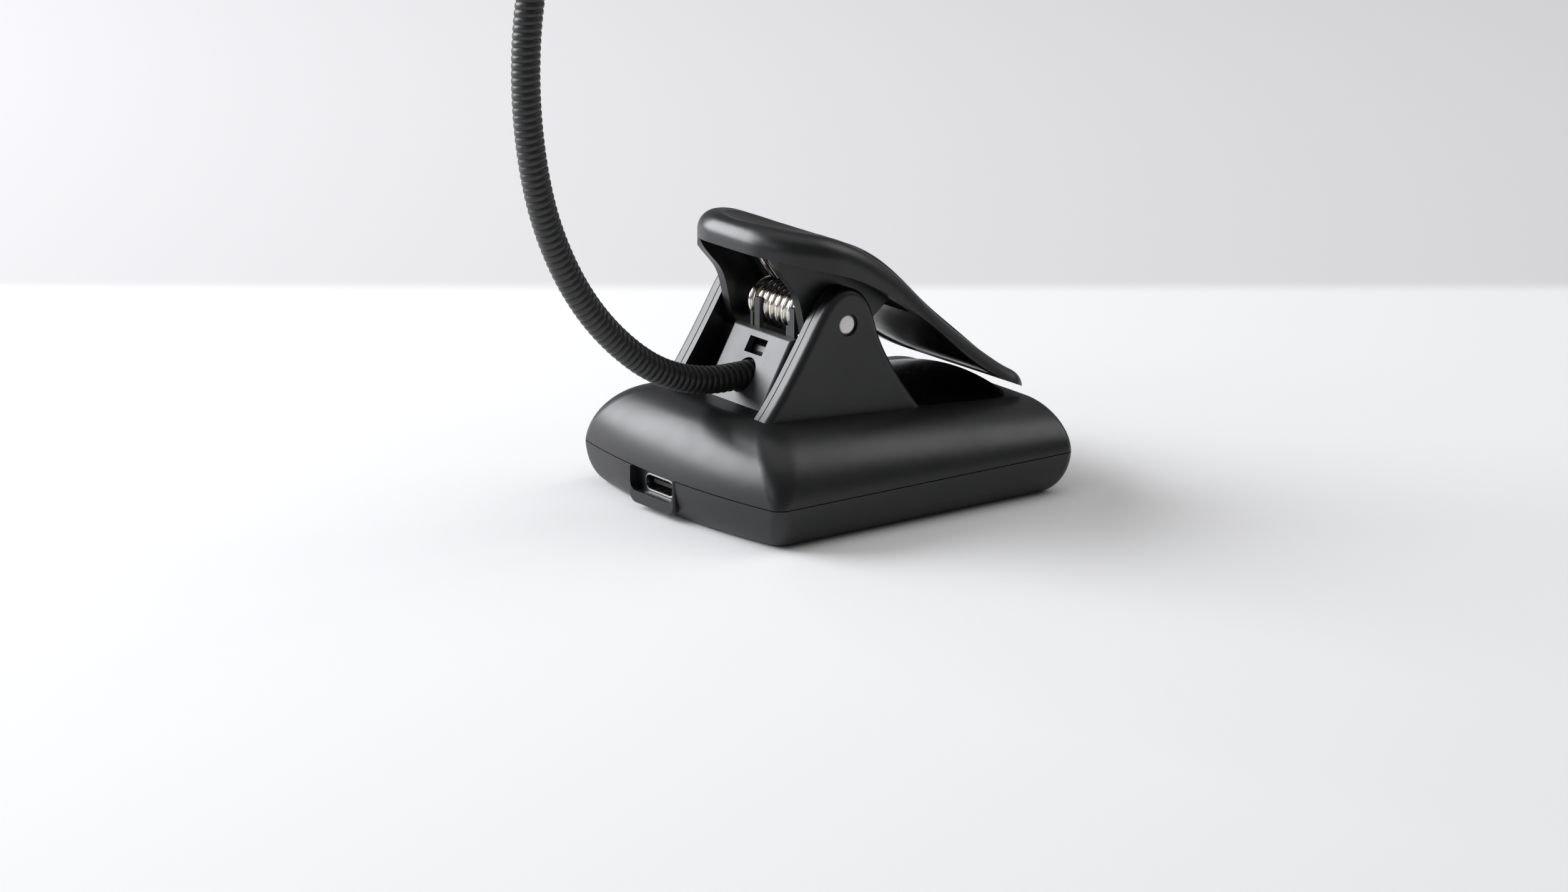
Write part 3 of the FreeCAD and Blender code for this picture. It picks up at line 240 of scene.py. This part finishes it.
def wound_steel(name):
    """Black coated steel winding: matte and dusty in the grooves and rubbed to a soft shine on the ribs, in
    roughness; its colour is painted paler on the rib crests, in flecks, as a painted highlight with some
    wear, and darkest in the grooves as painted shade.
    """
    finish, tree, shader, at = new_finish(name)
    crest = add_node(tree, "ShaderNodeAttribute", {"attribute_name": "rib_height"})
    fleck = add_node(tree, "ShaderNodeTexNoise",
                     {"Scale": 1 / FLECK_SIZE, "Detail": 3.0}, {"Vector": at})
    # Painted highlight with some wear: the colour turns paler, in flecks, towards the rib crests, and the
    # grooves keep the darkest colour as painted shade.
    crest_wear_and_highlight = add_node(tree, "ShaderNodeMath", {"operation": "MULTIPLY"},
                      {0: crest.outputs["Fac"], 1: fleck.outputs["Fac"]})
    tint = add_node(tree, "ShaderNodeMix",
                    {"data_type": "RGBA", 6: from_hex("#0a0a0a"), 7: from_hex("#2b2c2b")},
                    {0: crest_wear_and_highlight.outputs["Value"]})
    gloss = add_node(tree, "ShaderNodeMapRange", {"To Min": 0.62, "To Max": 0.3},
                     {"Value": crest.outputs["Fac"]})
    coat_relief = add_node(tree, "ShaderNodeBump", {"Strength": 1.0, "Distance": 0.004 * MM},
                           {"Height": fleck.outputs["Fac"]})
    tree.links.new(tint.outputs[2], shader.inputs["Base Color"])
    tree.links.new(gloss.outputs["Result"], shader.inputs["Roughness"])
    tree.links.new(coat_relief.outputs["Normal"], shader.inputs["Normal"])
    return finish


def masked_board(name, mask, copper, via):
    """A circuit board: copper runs show as slightly raised, paler tracks under the solder mask."""
    finish, tree, shader, at = new_finish(name)
    tracks = add_node(tree, "ShaderNodeTexBrick",
                      {"Scale": 1 / TRACK_SIZE, "Mortar Size": 0.06, "Mortar Smooth": 0.4,
                       "Color1": from_hex(mask), "Color2": from_hex(mask), "Mortar": from_hex(copper)},
                      {"Vector": at})
    holes = add_node(tree, "ShaderNodeTexVoronoi", {"Scale": 1 / VIA_SPACING},
                     {"Vector": at})
    ring = add_node(tree, "ShaderNodeMath", {"operation": "LESS_THAN", 1: 0.16},
                    {0: holes.outputs["Distance"]})
    tint = add_node(tree, "ShaderNodeMix", {"data_type": "RGBA", 7: from_hex(via)},
                    {0: ring.outputs["Value"], 6: tracks.outputs["Color"]})
    raised = add_node(tree, "ShaderNodeBump", {"Strength": 1.0, "Distance": 0.03 * MM},
                      {"Height": tracks.outputs["Fac"]})
    tree.links.new(tint.outputs[2], shader.inputs["Base Color"])
    tree.links.new(raised.outputs["Normal"], shader.inputs["Normal"])
    shader.inputs["Roughness"].default_value = 0.35
    return finish


def opal_acrylic(name):
    """Extruded opal acrylic with fine prisms: milky, with a soft gloss and light that spreads inside."""
    finish, tree, shader, at = new_finish(name)
    prisms = add_node(tree, "ShaderNodeTexVoronoi", {"Scale": 1 / PRISM_SIZE},
                      {"Vector": at})
    milk = add_node(tree, "ShaderNodeTexNoise", {"Scale": 1 / MILK_SIZE, "Detail": 2.0},
                    {"Vector": at})
    tint = add_node(tree, "ShaderNodeMix",
                    {"data_type": "RGBA", 6: from_hex("#e9e8e2"), 7: from_hex("#f6f5f0")},
                    {0: milk.outputs["Fac"]})
    texture = add_node(tree, "ShaderNodeBump", {"Strength": 1.0, "Distance": 0.05 * MM},
                       {"Height": prisms.outputs["Distance"]})
    tree.links.new(tint.outputs[2], shader.inputs["Base Color"])
    tree.links.new(texture.outputs["Normal"], shader.inputs["Normal"])
    shader.inputs["Roughness"].default_value = 0.28
    shader.inputs["IOR"].default_value = 1.49
    shader.inputs["Subsurface Weight"].default_value = 0.3
    shader.inputs["Subsurface Radius"].default_value = OPAL_SPREAD
    return finish


def phosphor_diode(name):
    """A white diode's phosphor window: gritty yellow."""
    finish, tree, shader, at = new_finish(name)
    grit = add_node(tree, "ShaderNodeTexNoise", {"Scale": 1 / GRIT_SIZE, "Detail": 2.0},
                    {"Vector": at})
    tint = add_node(tree, "ShaderNodeMix",
                    {"data_type": "RGBA", 6: from_hex("#e8c34a"), 7: from_hex("#f6e08a")},
                    {0: grit.outputs["Fac"]})
    skin = add_node(tree, "ShaderNodeBump", {"Strength": 1.0, "Distance": 0.01 * MM},
                    {"Height": grit.outputs["Fac"]})
    tree.links.new(tint.outputs[2], shader.inputs["Base Color"])
    tree.links.new(skin.outputs["Normal"], shader.inputs["Normal"])
    shader.inputs["Roughness"].default_value = 0.3
    return finish


def clear_polycarbonate(name):
    """A clear moulded light pipe: the dark inside shows through, with faint flow lines and a hard gloss."""
    finish, tree, shader, at = new_finish(name)
    flow = add_node(tree, "ShaderNodeTexNoise", {"Scale": 1 / FLOW_SIZE, "Detail": 1.0},
                    {"Vector": at})
    gloss = add_node(tree, "ShaderNodeMapRange", {"To Min": 0.08, "To Max": 0.2},
                     {"Value": flow.outputs["Fac"]})
    ripple = add_node(tree, "ShaderNodeBump", {"Strength": 1.0, "Distance": 0.02 * MM},
                      {"Height": flow.outputs["Fac"]})
    tree.links.new(gloss.outputs["Result"], shader.inputs["Roughness"])
    tree.links.new(ripple.outputs["Normal"], shader.inputs["Normal"])
    shader.inputs["Base Color"].default_value = from_hex("#8f9596")
    shader.inputs["IOR"].default_value = 1.58
    shader.inputs["Transmission Weight"].default_value = 0.85
    return finish


def studio_floor(name, near, far):
    """A sweep of matte card: near white in front and light grey behind, with a soft change between."""
    finish, tree, shader, at = new_finish(name)
    depth = add_node(tree, "ShaderNodeVectorMath",
                     {"operation": "DOT_PRODUCT", 1: (-CAMERA_BACK[0], -CAMERA_BACK[1], 0.0)},
                     {0: at})
    change = add_node(tree, "ShaderNodeMapRange",
                      {"interpolation_type": "SMOOTHSTEP",
                       "From Min": FLOOR_CHANGE[0], "From Max": FLOOR_CHANGE[1]},
                      {"Value": depth.outputs["Value"]})
    fibre = add_node(tree, "ShaderNodeTexNoise", {"Scale": 1 / FIBRE_SIZE, "Detail": 2.0},
                     {"Vector": at})
    tint = add_node(tree, "ShaderNodeMix", {"data_type": "RGBA", 6: near, 7: far},
                    {0: change.outputs["Result"]})
    tooth = add_node(tree, "ShaderNodeBump", {"Strength": 0.3, "Distance": 0.01 * MM},
                     {"Height": fibre.outputs["Fac"]})
    tree.links.new(tint.outputs[2], shader.inputs["Base Color"])
    tree.links.new(tooth.outputs["Normal"], shader.inputs["Normal"])
    shader.inputs["Roughness"].default_value = 0.75
    shader.inputs["Specular IOR Level"].default_value = 0.2
    return finish


def make_finishes(colours):
    """Makes each finish of the lamp once, by name."""
    f = {}
    # ABS from a spark eroded mould: a fine even grain, drawn at 0.35 mm so that it shows, and a satin sheen.
    spark_eroded = ("#08090b", "#101113", 0.34, 0.43, 0.35 * MM, 0.0035 * MM)
    f["casing"] = grained_polymer("casing_abs_spark_eroded", *spark_eroded, ior=1.52)
    # The lever is the same ABS from a finer mould face: glossier, and hands polish it unevenly.
    f["lever"] = grained_polymer("lever_abs_satin", "#08090a", "#0f1012", 0.3, 0.4,
                                 0.3 * MM, 0.0022 * MM, cloud=18 * MM, ior=1.52)
    # A soft elastomer pad: smooth and almost wet, with a slow mottle where it has been pressed.
    f["pad"] = grained_polymer("pad_elastomer_smooth", "#060607", "#0c0d0d", 0.16, 0.3,
                               0.8 * MM, 0.004 * MM, cloud=8 * MM)
    # Coarser spark erosion on the neck's cover: the grain is plain to see and the face scatters light.
    f["cover"] = grained_polymer("cover_abs_coarse_grain", "#1c1d1f", "#3a3b3e", 0.36, 0.48,
                                 0.3 * MM, 0.011 * MM, ior=1.52)
    # Natural nylon rod, cut to length: warm white with faint turning marks and a waxy sheen.
    f["pin"] = grained_polymer("pin_nylon_turned", "#e9e7de", "#f8f7f1", 0.34, 0.5,
                               0.5 * MM, 0.006 * MM, ior=1.53)
    # Bright nickel on hard drawn wire: almost a mirror, with draw lines along the wire.
    f["spring"] = drawn_metal("spring_wire_nickel_plated", "#c3bdb2", "#e4e0d8", 0.1, 0.22,
                              0.5 * MM, (1, 1, 1), 0.002 * MM)
    # Deep drawn stainless shell: bright lips, with draw marks along the way it was pulled.
    f["shell"] = drawn_metal("receptacle_shell_stainless", "#a9abad", "#cfd1d2", 0.16, 0.34,
                             0.25 * MM, (0.1, 1, 1), 0.002 * MM)
    # Turned brass ferrule: warm yellow with rings round it.
    f["brass"] = drawn_metal("ferrule_brass_turned", "#a9853f", "#cfae66", 0.2, 0.34,
                             0.2 * MM, (1, 0.2, 0.2), 0.003 * MM)
    # Zinc plated screws: cool grey with a cloudy passivated skin.
    f["zinc"] = drawn_metal("screw_steel_zinc_plated", "#83888d", "#a9aeb3", 0.28, 0.45,
                            0.3 * MM, (1, 1, 1), 0.003 * MM)
    # Gold flashed contacts.
    f["gold"] = drawn_metal("contact_gold_flashed", "#b8923f", "#dcbc70", 0.15, 0.28,
                            0.2 * MM, (0.1, 1, 1), 0.001 * MM)
    # Aluminium foil pouch of the cell: soft creases and a satin metal skin.
    f["foil"] = drawn_metal("cell_foil_laminated", "#8e9194", "#b4b7b9", 0.3, 0.5,
                            2.5 * MM, (1, 0.4, 1), 0.05 * MM)
    # Liquid crystal polymer tongue: dense matte black.
    f["tongue"] = grained_polymer("tongue_polymer_matte", "#0a0a0b", "#151516", 0.45, 0.6,
                                  0.3 * MM, 0.004 * MM)
    # Silicone foot: matte black with a faint drag to it and a dusty bloom.
    f["foot"] = grained_polymer("foot_silicone_matte", "#101011", "#1f2020", 0.6, 0.78,
                                0.5 * MM, 0.012 * MM, ior=1.43)
    # The head's shells: the casing's ABS and mould grain, with the same satin sheen.
    f["head"] = grained_polymer("head_abs_spark_eroded", *spark_eroded, ior=1.52)
    # Moulded switch bodies: a glass filled polymer, flat and matte.
    f["switch"] = grained_polymer("switch_polymer_moulded", "#121213", "#1d1d1e", 0.4, 0.55,
                                  0.3 * MM, 0.004 * MM)
    # Button caps: mid grey ABS, polished on the crown by fingers.
    f["button"] = grained_polymer("button_abs_satin", "#3a3b3d", "#4a4b4d", 0.26, 0.42,
                                  0.3 * MM, 0.003 * MM, cloud=4 * MM)
    # Green solder mask printed over etched copper: a thin gloss, with paler tracks standing just proud.
    f["board"] = masked_board("charging_board_green_mask", "#0f4a26", "#1d6b3b", "#b99b55")
    # White solder mask, which throws the diodes' light back out: bright, with hardly a track to be seen.
    f["white_board"] = masked_board("light_board_white_mask", "#e4e6e4", "#f2f3f1", "#c9c0a0")
    # Extruded opal sheet: milky and even, so that no single diode shows through.
    f["diffuser"] = opal_acrylic("diffuser_acrylic_opal")
    # Phosphor poured over each diode: a gritty yellow window.
    f["diode"] = phosphor_diode("diode_phosphor_window")
    # Moulded clear polycarbonate: a hard bright gloss over the dark behind it.
    f["pipe"] = clear_polycarbonate("charge_light_polycarbonate_clear")
    # Wire wound and then coated black: glossier on the ribs and matte between them, with a painted highlight
    # on the ribs and painted shade in the grooves.
    f["winding"] = wound_steel("neck_winding_black_coated")
    f["casing"].diffuse_color = colours.casing_black[:] + (1.0,)
    return f


NODE_FINISHES = {
    "upper_casing": "casing", "lower_casing": "casing", "lower_grip_pad": "pad", "hinge_pin": "pin",
    "torsion_spring": "spring", "spring_arm": "spring", "neck_cover": "cover", "neck_clamp": "cover",
    "clamp_screws": "zinc", "neck_ferrule": "brass", "usb_receptacle": "shell", "usb_tongue": "tongue",
    "charging_board": "board", "battery_cell": "foil", "charge_light": "pipe", "casing_screws": "zinc",
    "foot_pad": "foot", "neck_root": "winding", "lever": "lever", "upper_grip_pad": "pad",
    "neck_collar": "zinc", "head_back": "head", "head_bezel": "head", "diffuser": "diffuser",
    "light_board": "white_board", "light_diodes": "diode", "board_screws": "zinc",
    "press_switches": "switch", "power_button": "button", "tone_button": "button",
}


# ---------------------------------------------------------------- neck


def heading_way(heading):
    """The way a heading points, in the neck's own upright plane laid flat: across, then up."""
    return Vector((math.cos(heading), math.sin(heading), 0.0))


def go_along(place, heading, length, turn):
    """The place and heading after an arc (or a straight, where the turn is nought) of the given length."""
    if turn == 0:
        return place + heading_way(heading) * length, heading
    chord = 2 * length / turn * math.sin(turn / 2)
    return place + heading_way(heading - turn / 2) * chord, heading - turn


def neck_stations():
    """Where each joint of the neck stands, with its heading, checked against the CAD joints."""
    first = NECK_JOINTS[0]["pos_m"]
    place, heading = Vector((first[0], first[2], 0.0)), math.pi
    stations = [(place, heading)]
    for turn, joint in zip(LINK_TURNS, NECK_JOINTS[1:] + [None]):
        place, heading = go_along(place, heading, LINK_LENGTH, math.radians(turn))
        stations.append((place, heading))
        if joint and (Vector((joint["pos_m"][0], joint["pos_m"][2], 0.0)) - place).length > ROUTE_TOLERANCE:
            raise RuntimeError(f"the winding's route misses {joint['name']}")
    return stations


def route_curve(start, heading, runs):
    """A guide curve through straight and curved runs, laid flat; each run is a length and a turn."""
    deselect_all()
    bpy.ops.curve.primitive_bezier_curve_add(location=(0, 0, 0))
    guide = bpy.context.object
    guide.data.dimensions = "3D"
    guide.data.twist_mode = "Z_UP"
    guide.data.resolution_u = GUIDE_STEPS
    guide.data.use_deform_bounds = False
    guide.data.use_radius = False
    points = guide.data.splines[0].bezier_points
    points.add(len(runs) + 1 - len(points))
    place = start
    for point in points:
        point.handle_left_type = point.handle_right_type = "FREE"
    for i, (length, turn) in enumerate(runs):
        reach = length / 3 if turn == 0 else 4 / 3 * math.tan(turn / 4) * length / turn
        following, new_heading = go_along(place, heading, length, turn)
        points[i].co = place
        points[i].handle_right = place + heading_way(heading) * reach
        points[i + 1].co = following
        points[i + 1].handle_left = following - heading_way(new_heading) * reach
        if i == 0:
            points[0].handle_left = place - heading_way(heading) * reach
        points[i + 1].handle_right = following + heading_way(new_heading) * reach
        place, heading = following, new_heading
    return guide


def straight_winding(name, length, pitch):
    """A straight length of wound wire along X: one rib's arc, screwed round the axis and cut square."""
    rib_radius = pitch / 2 / math.sin(RIB_HALF_ANGLE)
    rib_centre = NECK_RADIUS - rib_radius
    groove = rib_centre + rib_radius * math.cos(RIB_HALF_ANGLE)
    deselect_all()
    bpy.ops.mesh.primitive_circle_add(vertices=RIB_CIRCLE_POINTS, radius=rib_radius, fill_type="NOTHING",
                                      location=(-pitch, 0, rib_centre), rotation=(math.pi / 2, 0, 0))
    winding = bpy.context.object
    winding.name = name
    bpy.ops.object.transform_apply(location=True, rotation=True, scale=True)
    bpy.ops.object.mode_set(mode="EDIT")
    bpy.ops.mesh.select_mode(type="VERT")
    bpy.ops.mesh.select_all(action="DESELECT")
    bpy.ops.object.mode_set(mode="OBJECT")
    for vertex in winding.data.vertices:
        vertex.select = vertex.co.z < groove - RIB_EDGE_SLACK
    bpy.ops.object.mode_set(mode="EDIT")
    bpy.ops.mesh.delete(type="VERT")
    bpy.ops.object.mode_set(mode="OBJECT")
    turns = round(length / pitch) + SPARE_TURNS
    apply_modifier(winding, "Winding", "SCREW", axis="X", screw_offset=pitch, iterations=turns,
                   steps=RIB_TURN_STEPS, render_steps=RIB_TURN_STEPS, use_merge_vertices=True,
                   merge_threshold=MERGE_REACH)
    bpy.ops.object.mode_set(mode="EDIT")
    for cut, near_side in ((0.0, True), (length, False)):
        bpy.ops.mesh.select_all(action="SELECT")
        bpy.ops.mesh.bisect(plane_co=(cut, 0, 0), plane_no=(1, 0, 0), use_fill=True,
                            clear_inner=near_side, clear_outer=not near_side, threshold=CUT_TOLERANCE)
    bpy.ops.mesh.select_all(action="SELECT")
    bpy.ops.mesh.normals_make_consistent(inside=False)
    bpy.ops.object.mode_set(mode="OBJECT")
    # rib_height runs from 0 in the grooves to 1 on the crests; the winding's finish paints its highlight and
    # shade from it.
    height = winding.data.attributes.new("rib_height", "FLOAT", "POINT")
    for vertex, value in zip(winding.data.vertices, height.data):
        radius = math.hypot(vertex.co.y, vertex.co.z)
        value.value = min(1.0, max(0.0, (radius - groove) / (NECK_RADIUS - groove)))
    return winding


def bend_winding(winding, guide):
    """Bends a straight winding along its guide and stands it up in the neck's plane."""
    apply_modifier(winding, "Route", "CURVE", object=guide, deform_axis="POS_X")
    bpy.data.objects.remove(guide)
    winding.rotation_euler = (math.pi / 2, 0, 0)
    make_only(winding)
    bpy.ops.object.transform_apply(location=True, rotation=True, scale=True)
    bpy.ops.object.shade_smooth_by_angle(angle=SMOOTH_ANGLE)


class LAMP_OT_wind_neck(bpy.types.Operator):
    """Winds the neck's ribbed steel, one piece across each joint, from the cover to the lamp head"""
    bl_idname = "lamp.wind_neck"
    bl_label = "Wind the neck"

    def execute(self, context):
        pitch = context.scene.lamp_neck.rib_pitch
        finish = bpy.data.materials["neck_winding_black_coated"]
        stations = neck_stations()
        turns = [0.0] + [math.radians(t) for t in LINK_TURNS]
        for k, (place, heading) in enumerate(stations):
            last = k == len(stations) - 1
            half_before = turns[k] / 2
            start, start_heading = go_along(place, heading, -HALF_LINK, -half_before)
            runs = [(HALF_LINK, half_before)]
            if not last:
                runs.append((HALF_LINK, turns[k + 1] / 2))
            length = sum(run[0] for run in runs)
            winding = straight_winding(f"neck_winding_{k:02d}", length, pitch)
            bend_winding(winding, route_curve(start, start_heading, runs))
            wear(winding, finish)
            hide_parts(NECK_LINKS[k])
            if last:
                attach(winding, "head")
                continue
            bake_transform(winding)
        return {"FINISHED"}


# ---------------------------------------------------------------- port


class LAMP_OT_fit_contacts(bpy.types.Operator):
    """Lays the charging port's contact strips along both faces of its tongue"""
    bl_idname = "lamp.fit_contacts"
    bl_label = "Fit the port contacts"

    def execute(self, context):
        low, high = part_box("usb_tongue")
        first = low[1] + CONTACT_MARGIN
        step = (high[1] - low[1] - 2 * CONTACT_MARGIN) / (CONTACT_COUNT - 1)
        middle = low[0] + CONTACT_SETBACK + CONTACT_LENGTH / 2
        strips = []
        for face, way in ((low[2], -1), (high[2], 1)):
            for n in range(CONTACT_COUNT):
                deselect_all()
                bpy.ops.mesh.primitive_cube_add(size=1, location=(middle, first + n * step, face))
                strip = bpy.context.object
                strip.scale = (CONTACT_LENGTH, CONTACT_WIDTH, CONTACT_HEIGHT)
                bpy.ops.object.transform_apply(location=True, rotation=True, scale=True)
                apply_modifier(strip, "Edges", "BEVEL", width=CONTACT_EDGE, segments=CONTACT_EDGE_STEPS)
                strips.append(strip)
        deselect_all()
        for strip in strips:
            strip.select_set(True)
        context.view_layer.objects.active = strips[0]
        bpy.ops.object.join()
        contacts = context.object
        contacts.name = "port_contacts"
        bpy.ops.object.transform_apply(location=True, rotation=True, scale=True)
        bpy.ops.object.shade_smooth_by_angle(angle=SMOOTH_ANGLE)
        wear(contacts, bpy.data.materials["contact_gold_flashed"])
        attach(contacts, "base")
        return {"FINISHED"}


# ---------------------------------------------------------------- finishing and stage


class LAMP_OT_finish_pieces(bpy.types.Operator):
    """Makes the lamp's finishes and gives each CAD piece its own"""
    bl_idname = "lamp.finish_pieces"
    bl_label = "Finish the pieces"

    def execute(self, context):
        finishes = make_finishes(context.scene.lamp_colours)
        for name, node in frame["nodes"].items():
            key = "winding" if name.startswith("neck_link") else NODE_FINISHES[name]
            wear(node, finishes[key])
        return {"FINISHED"}


def softbox(name, place, aim, size, watts, colour):
    """A rectangular soft light at a place, facing a point."""
    deselect_all()
    bpy.ops.object.light_add(type="AREA", location=place)
    lamp = bpy.context.object
    lamp.name = name
    lamp.rotation_euler = (Vector(aim) - Vector(place)).to_track_quat("-Z", "Y").to_euler()
    lamp.data.shape = "RECTANGLE"
    lamp.data.size, lamp.data.size_y = size
    lamp.data.energy = watts
    lamp.data.color = from_hex(colour)[:3]


class LAMP_OT_set_stage(bpy.types.Operator):
    """Lays the pale floor and sets the camera and soft lights"""
    bl_idname = "lamp.set_stage"
    bl_label = "Set the studio"

    def execute(self, context):
        stage = context.scene.lamp_stage
        deselect_all()
        bpy.ops.mesh.primitive_plane_add(size=stage.floor_width, location=(0, 0, 0))
        floor = context.object
        floor.name = "studio_floor"
        bpy.ops.object.mode_set(mode="EDIT")
        bpy.ops.mesh.subdivide(number_cuts=FLOOR_CUTS)
        bpy.ops.object.mode_set(mode="OBJECT")
        near, far = stage.floor_near[:] + (1.0,), stage.floor_far[:] + (1.0,)
        wear(floor, studio_floor("studio_card_matte", near, far))
        for name, place, aim, size, power, colour in SOFTBOXES:
            softbox(name, place, aim, size, getattr(stage, power), colour)
        world = bpy.data.worlds.new("studio_room")
        context.scene.world = world
        world.use_nodes = True
        sky = world.node_tree.nodes["Background"]
        sky.inputs["Color"].default_value = stage.surround[:] + (1.0,)
        sky.inputs["Strength"].default_value = SURROUND_STRENGTH
        context.scene.view_settings.view_transform = "Standard"
        bpy.ops.object.camera_add(location=CAMERA_PLACE)
        camera = context.object
        camera.name = "studio_camera"
        turn = Matrix((CAMERA_RIGHT, CAMERA_UP, CAMERA_BACK)).transposed()
        camera.rotation_euler = turn.to_euler()
        camera.data.lens = CAMERA_LENS
        camera.data.sensor_width = CAMERA_SENSOR
        camera.data.clip_start = CAMERA_NEAREST
        context.scene.camera = camera
        return {"FINISHED"}


class LampNeck(bpy.types.PropertyGroup):
    """Sizes of the wound neck"""
    rib_pitch: bpy.props.FloatProperty(
        name="Rib pitch", description="From one rib of the winding to the next",
        default=1.25 * MM, min=0.5 * MM, max=5 * MM, unit="LENGTH", precision=5)


class LampColours(bpy.types.PropertyGroup):
    """Colours of the lamp"""
    casing_black: bpy.props.FloatVectorProperty(
        name="Casing", description="Colour of the casing in the plain viewport",
        default=from_hex("#101113")[:3], size=3, subtype="COLOR", min=0, max=1)


class LampStage(bpy.types.PropertyGroup):
    """Floor and lights"""
    floor_width: bpy.props.FloatProperty(
        name="Floor width", description="Width of the square floor", default=6.0, min=1, unit="LENGTH")
    floor_near: bpy.props.FloatVectorProperty(
        name="Floor, front", description="Colour of the floor under and before the lamp",
        default=from_hex("#e9e9e9")[:3], size=3, subtype="COLOR", min=0, max=1)
    floor_far: bpy.props.FloatVectorProperty(
        name="Floor, back", description="Colour of the floor behind the lamp",
        default=from_hex("#d2d1d2")[:3], size=3, subtype="COLOR", min=0, max=1)
    surround: bpy.props.FloatVectorProperty(
        name="Surround", description="Light from the room round the studio",
        default=(0.2, 0.2, 0.205), size=3, subtype="COLOR", min=0, max=1)
    key_watts: bpy.props.FloatProperty(
        name="Back left light", description="Power of the soft light behind, on the left",
        default=25.0, min=0, unit="POWER")
    top_watts: bpy.props.FloatProperty(
        name="Overhead light", description="Power of the soft light overhead", default=4.2, min=0,
        unit="POWER")
    fill_watts: bpy.props.FloatProperty(
        name="Front left light", description="Power of the soft light in front, on the left",
        default=1.2, min=0, unit="POWER")
    right_watts: bpy.props.FloatProperty(
        name="Right light", description="Power of the soft light on the right, which opens the shadow",
        default=8.5, min=0, unit="POWER")


class LAMP_PT_panel(bpy.types.Panel):
    """Lists the steps that make the lamp"""
    bl_label = "Reading lamp"
    bl_idname = "LAMP_PT_panel"
    bl_space_type = "VIEW_3D"
    bl_region_type = "UI"
    bl_category = "Lamp"

    def draw(self, context):
        layout = self.layout
        layout.prop(context.scene.lamp_neck, "rib_pitch")
        layout.prop(context.scene.lamp_colours, "casing_black")
        for name in ("floor_width", "floor_near", "floor_far", "surround", "key_watts", "top_watts",
                     "fill_watts", "right_watts"):
            layout.prop(context.scene.lamp_stage, name)
        for step in STEPS:
            layout.operator(step.bl_idname)


STEPS = (LAMP_OT_finish_pieces, LAMP_OT_wind_neck, LAMP_OT_fit_contacts, LAMP_OT_set_stage)
CLASSES = (LampNeck, LampColours, LampStage) + STEPS + (LAMP_PT_panel,)


def register():
    for cls in CLASSES:
        bpy.utils.register_class(cls)
    bpy.types.Scene.lamp_neck = bpy.props.PointerProperty(type=LampNeck)
    bpy.types.Scene.lamp_colours = bpy.props.PointerProperty(type=LampColours)
    bpy.types.Scene.lamp_stage = bpy.props.PointerProperty(type=LampStage)


def unregister():
    del bpy.types.Scene.lamp_stage
    del bpy.types.Scene.lamp_colours
    del bpy.types.Scene.lamp_neck
    for cls in reversed(CLASSES):
        bpy.utils.unregister_class(cls)


def main():
    """Runs every step in order."""
    register()
    bpy.ops.lamp.finish_pieces()
    bpy.ops.lamp.wind_neck()
    bpy.ops.lamp.fit_contacts()
    bpy.ops.lamp.set_stage()


if __name__ == "__main__":
    main()
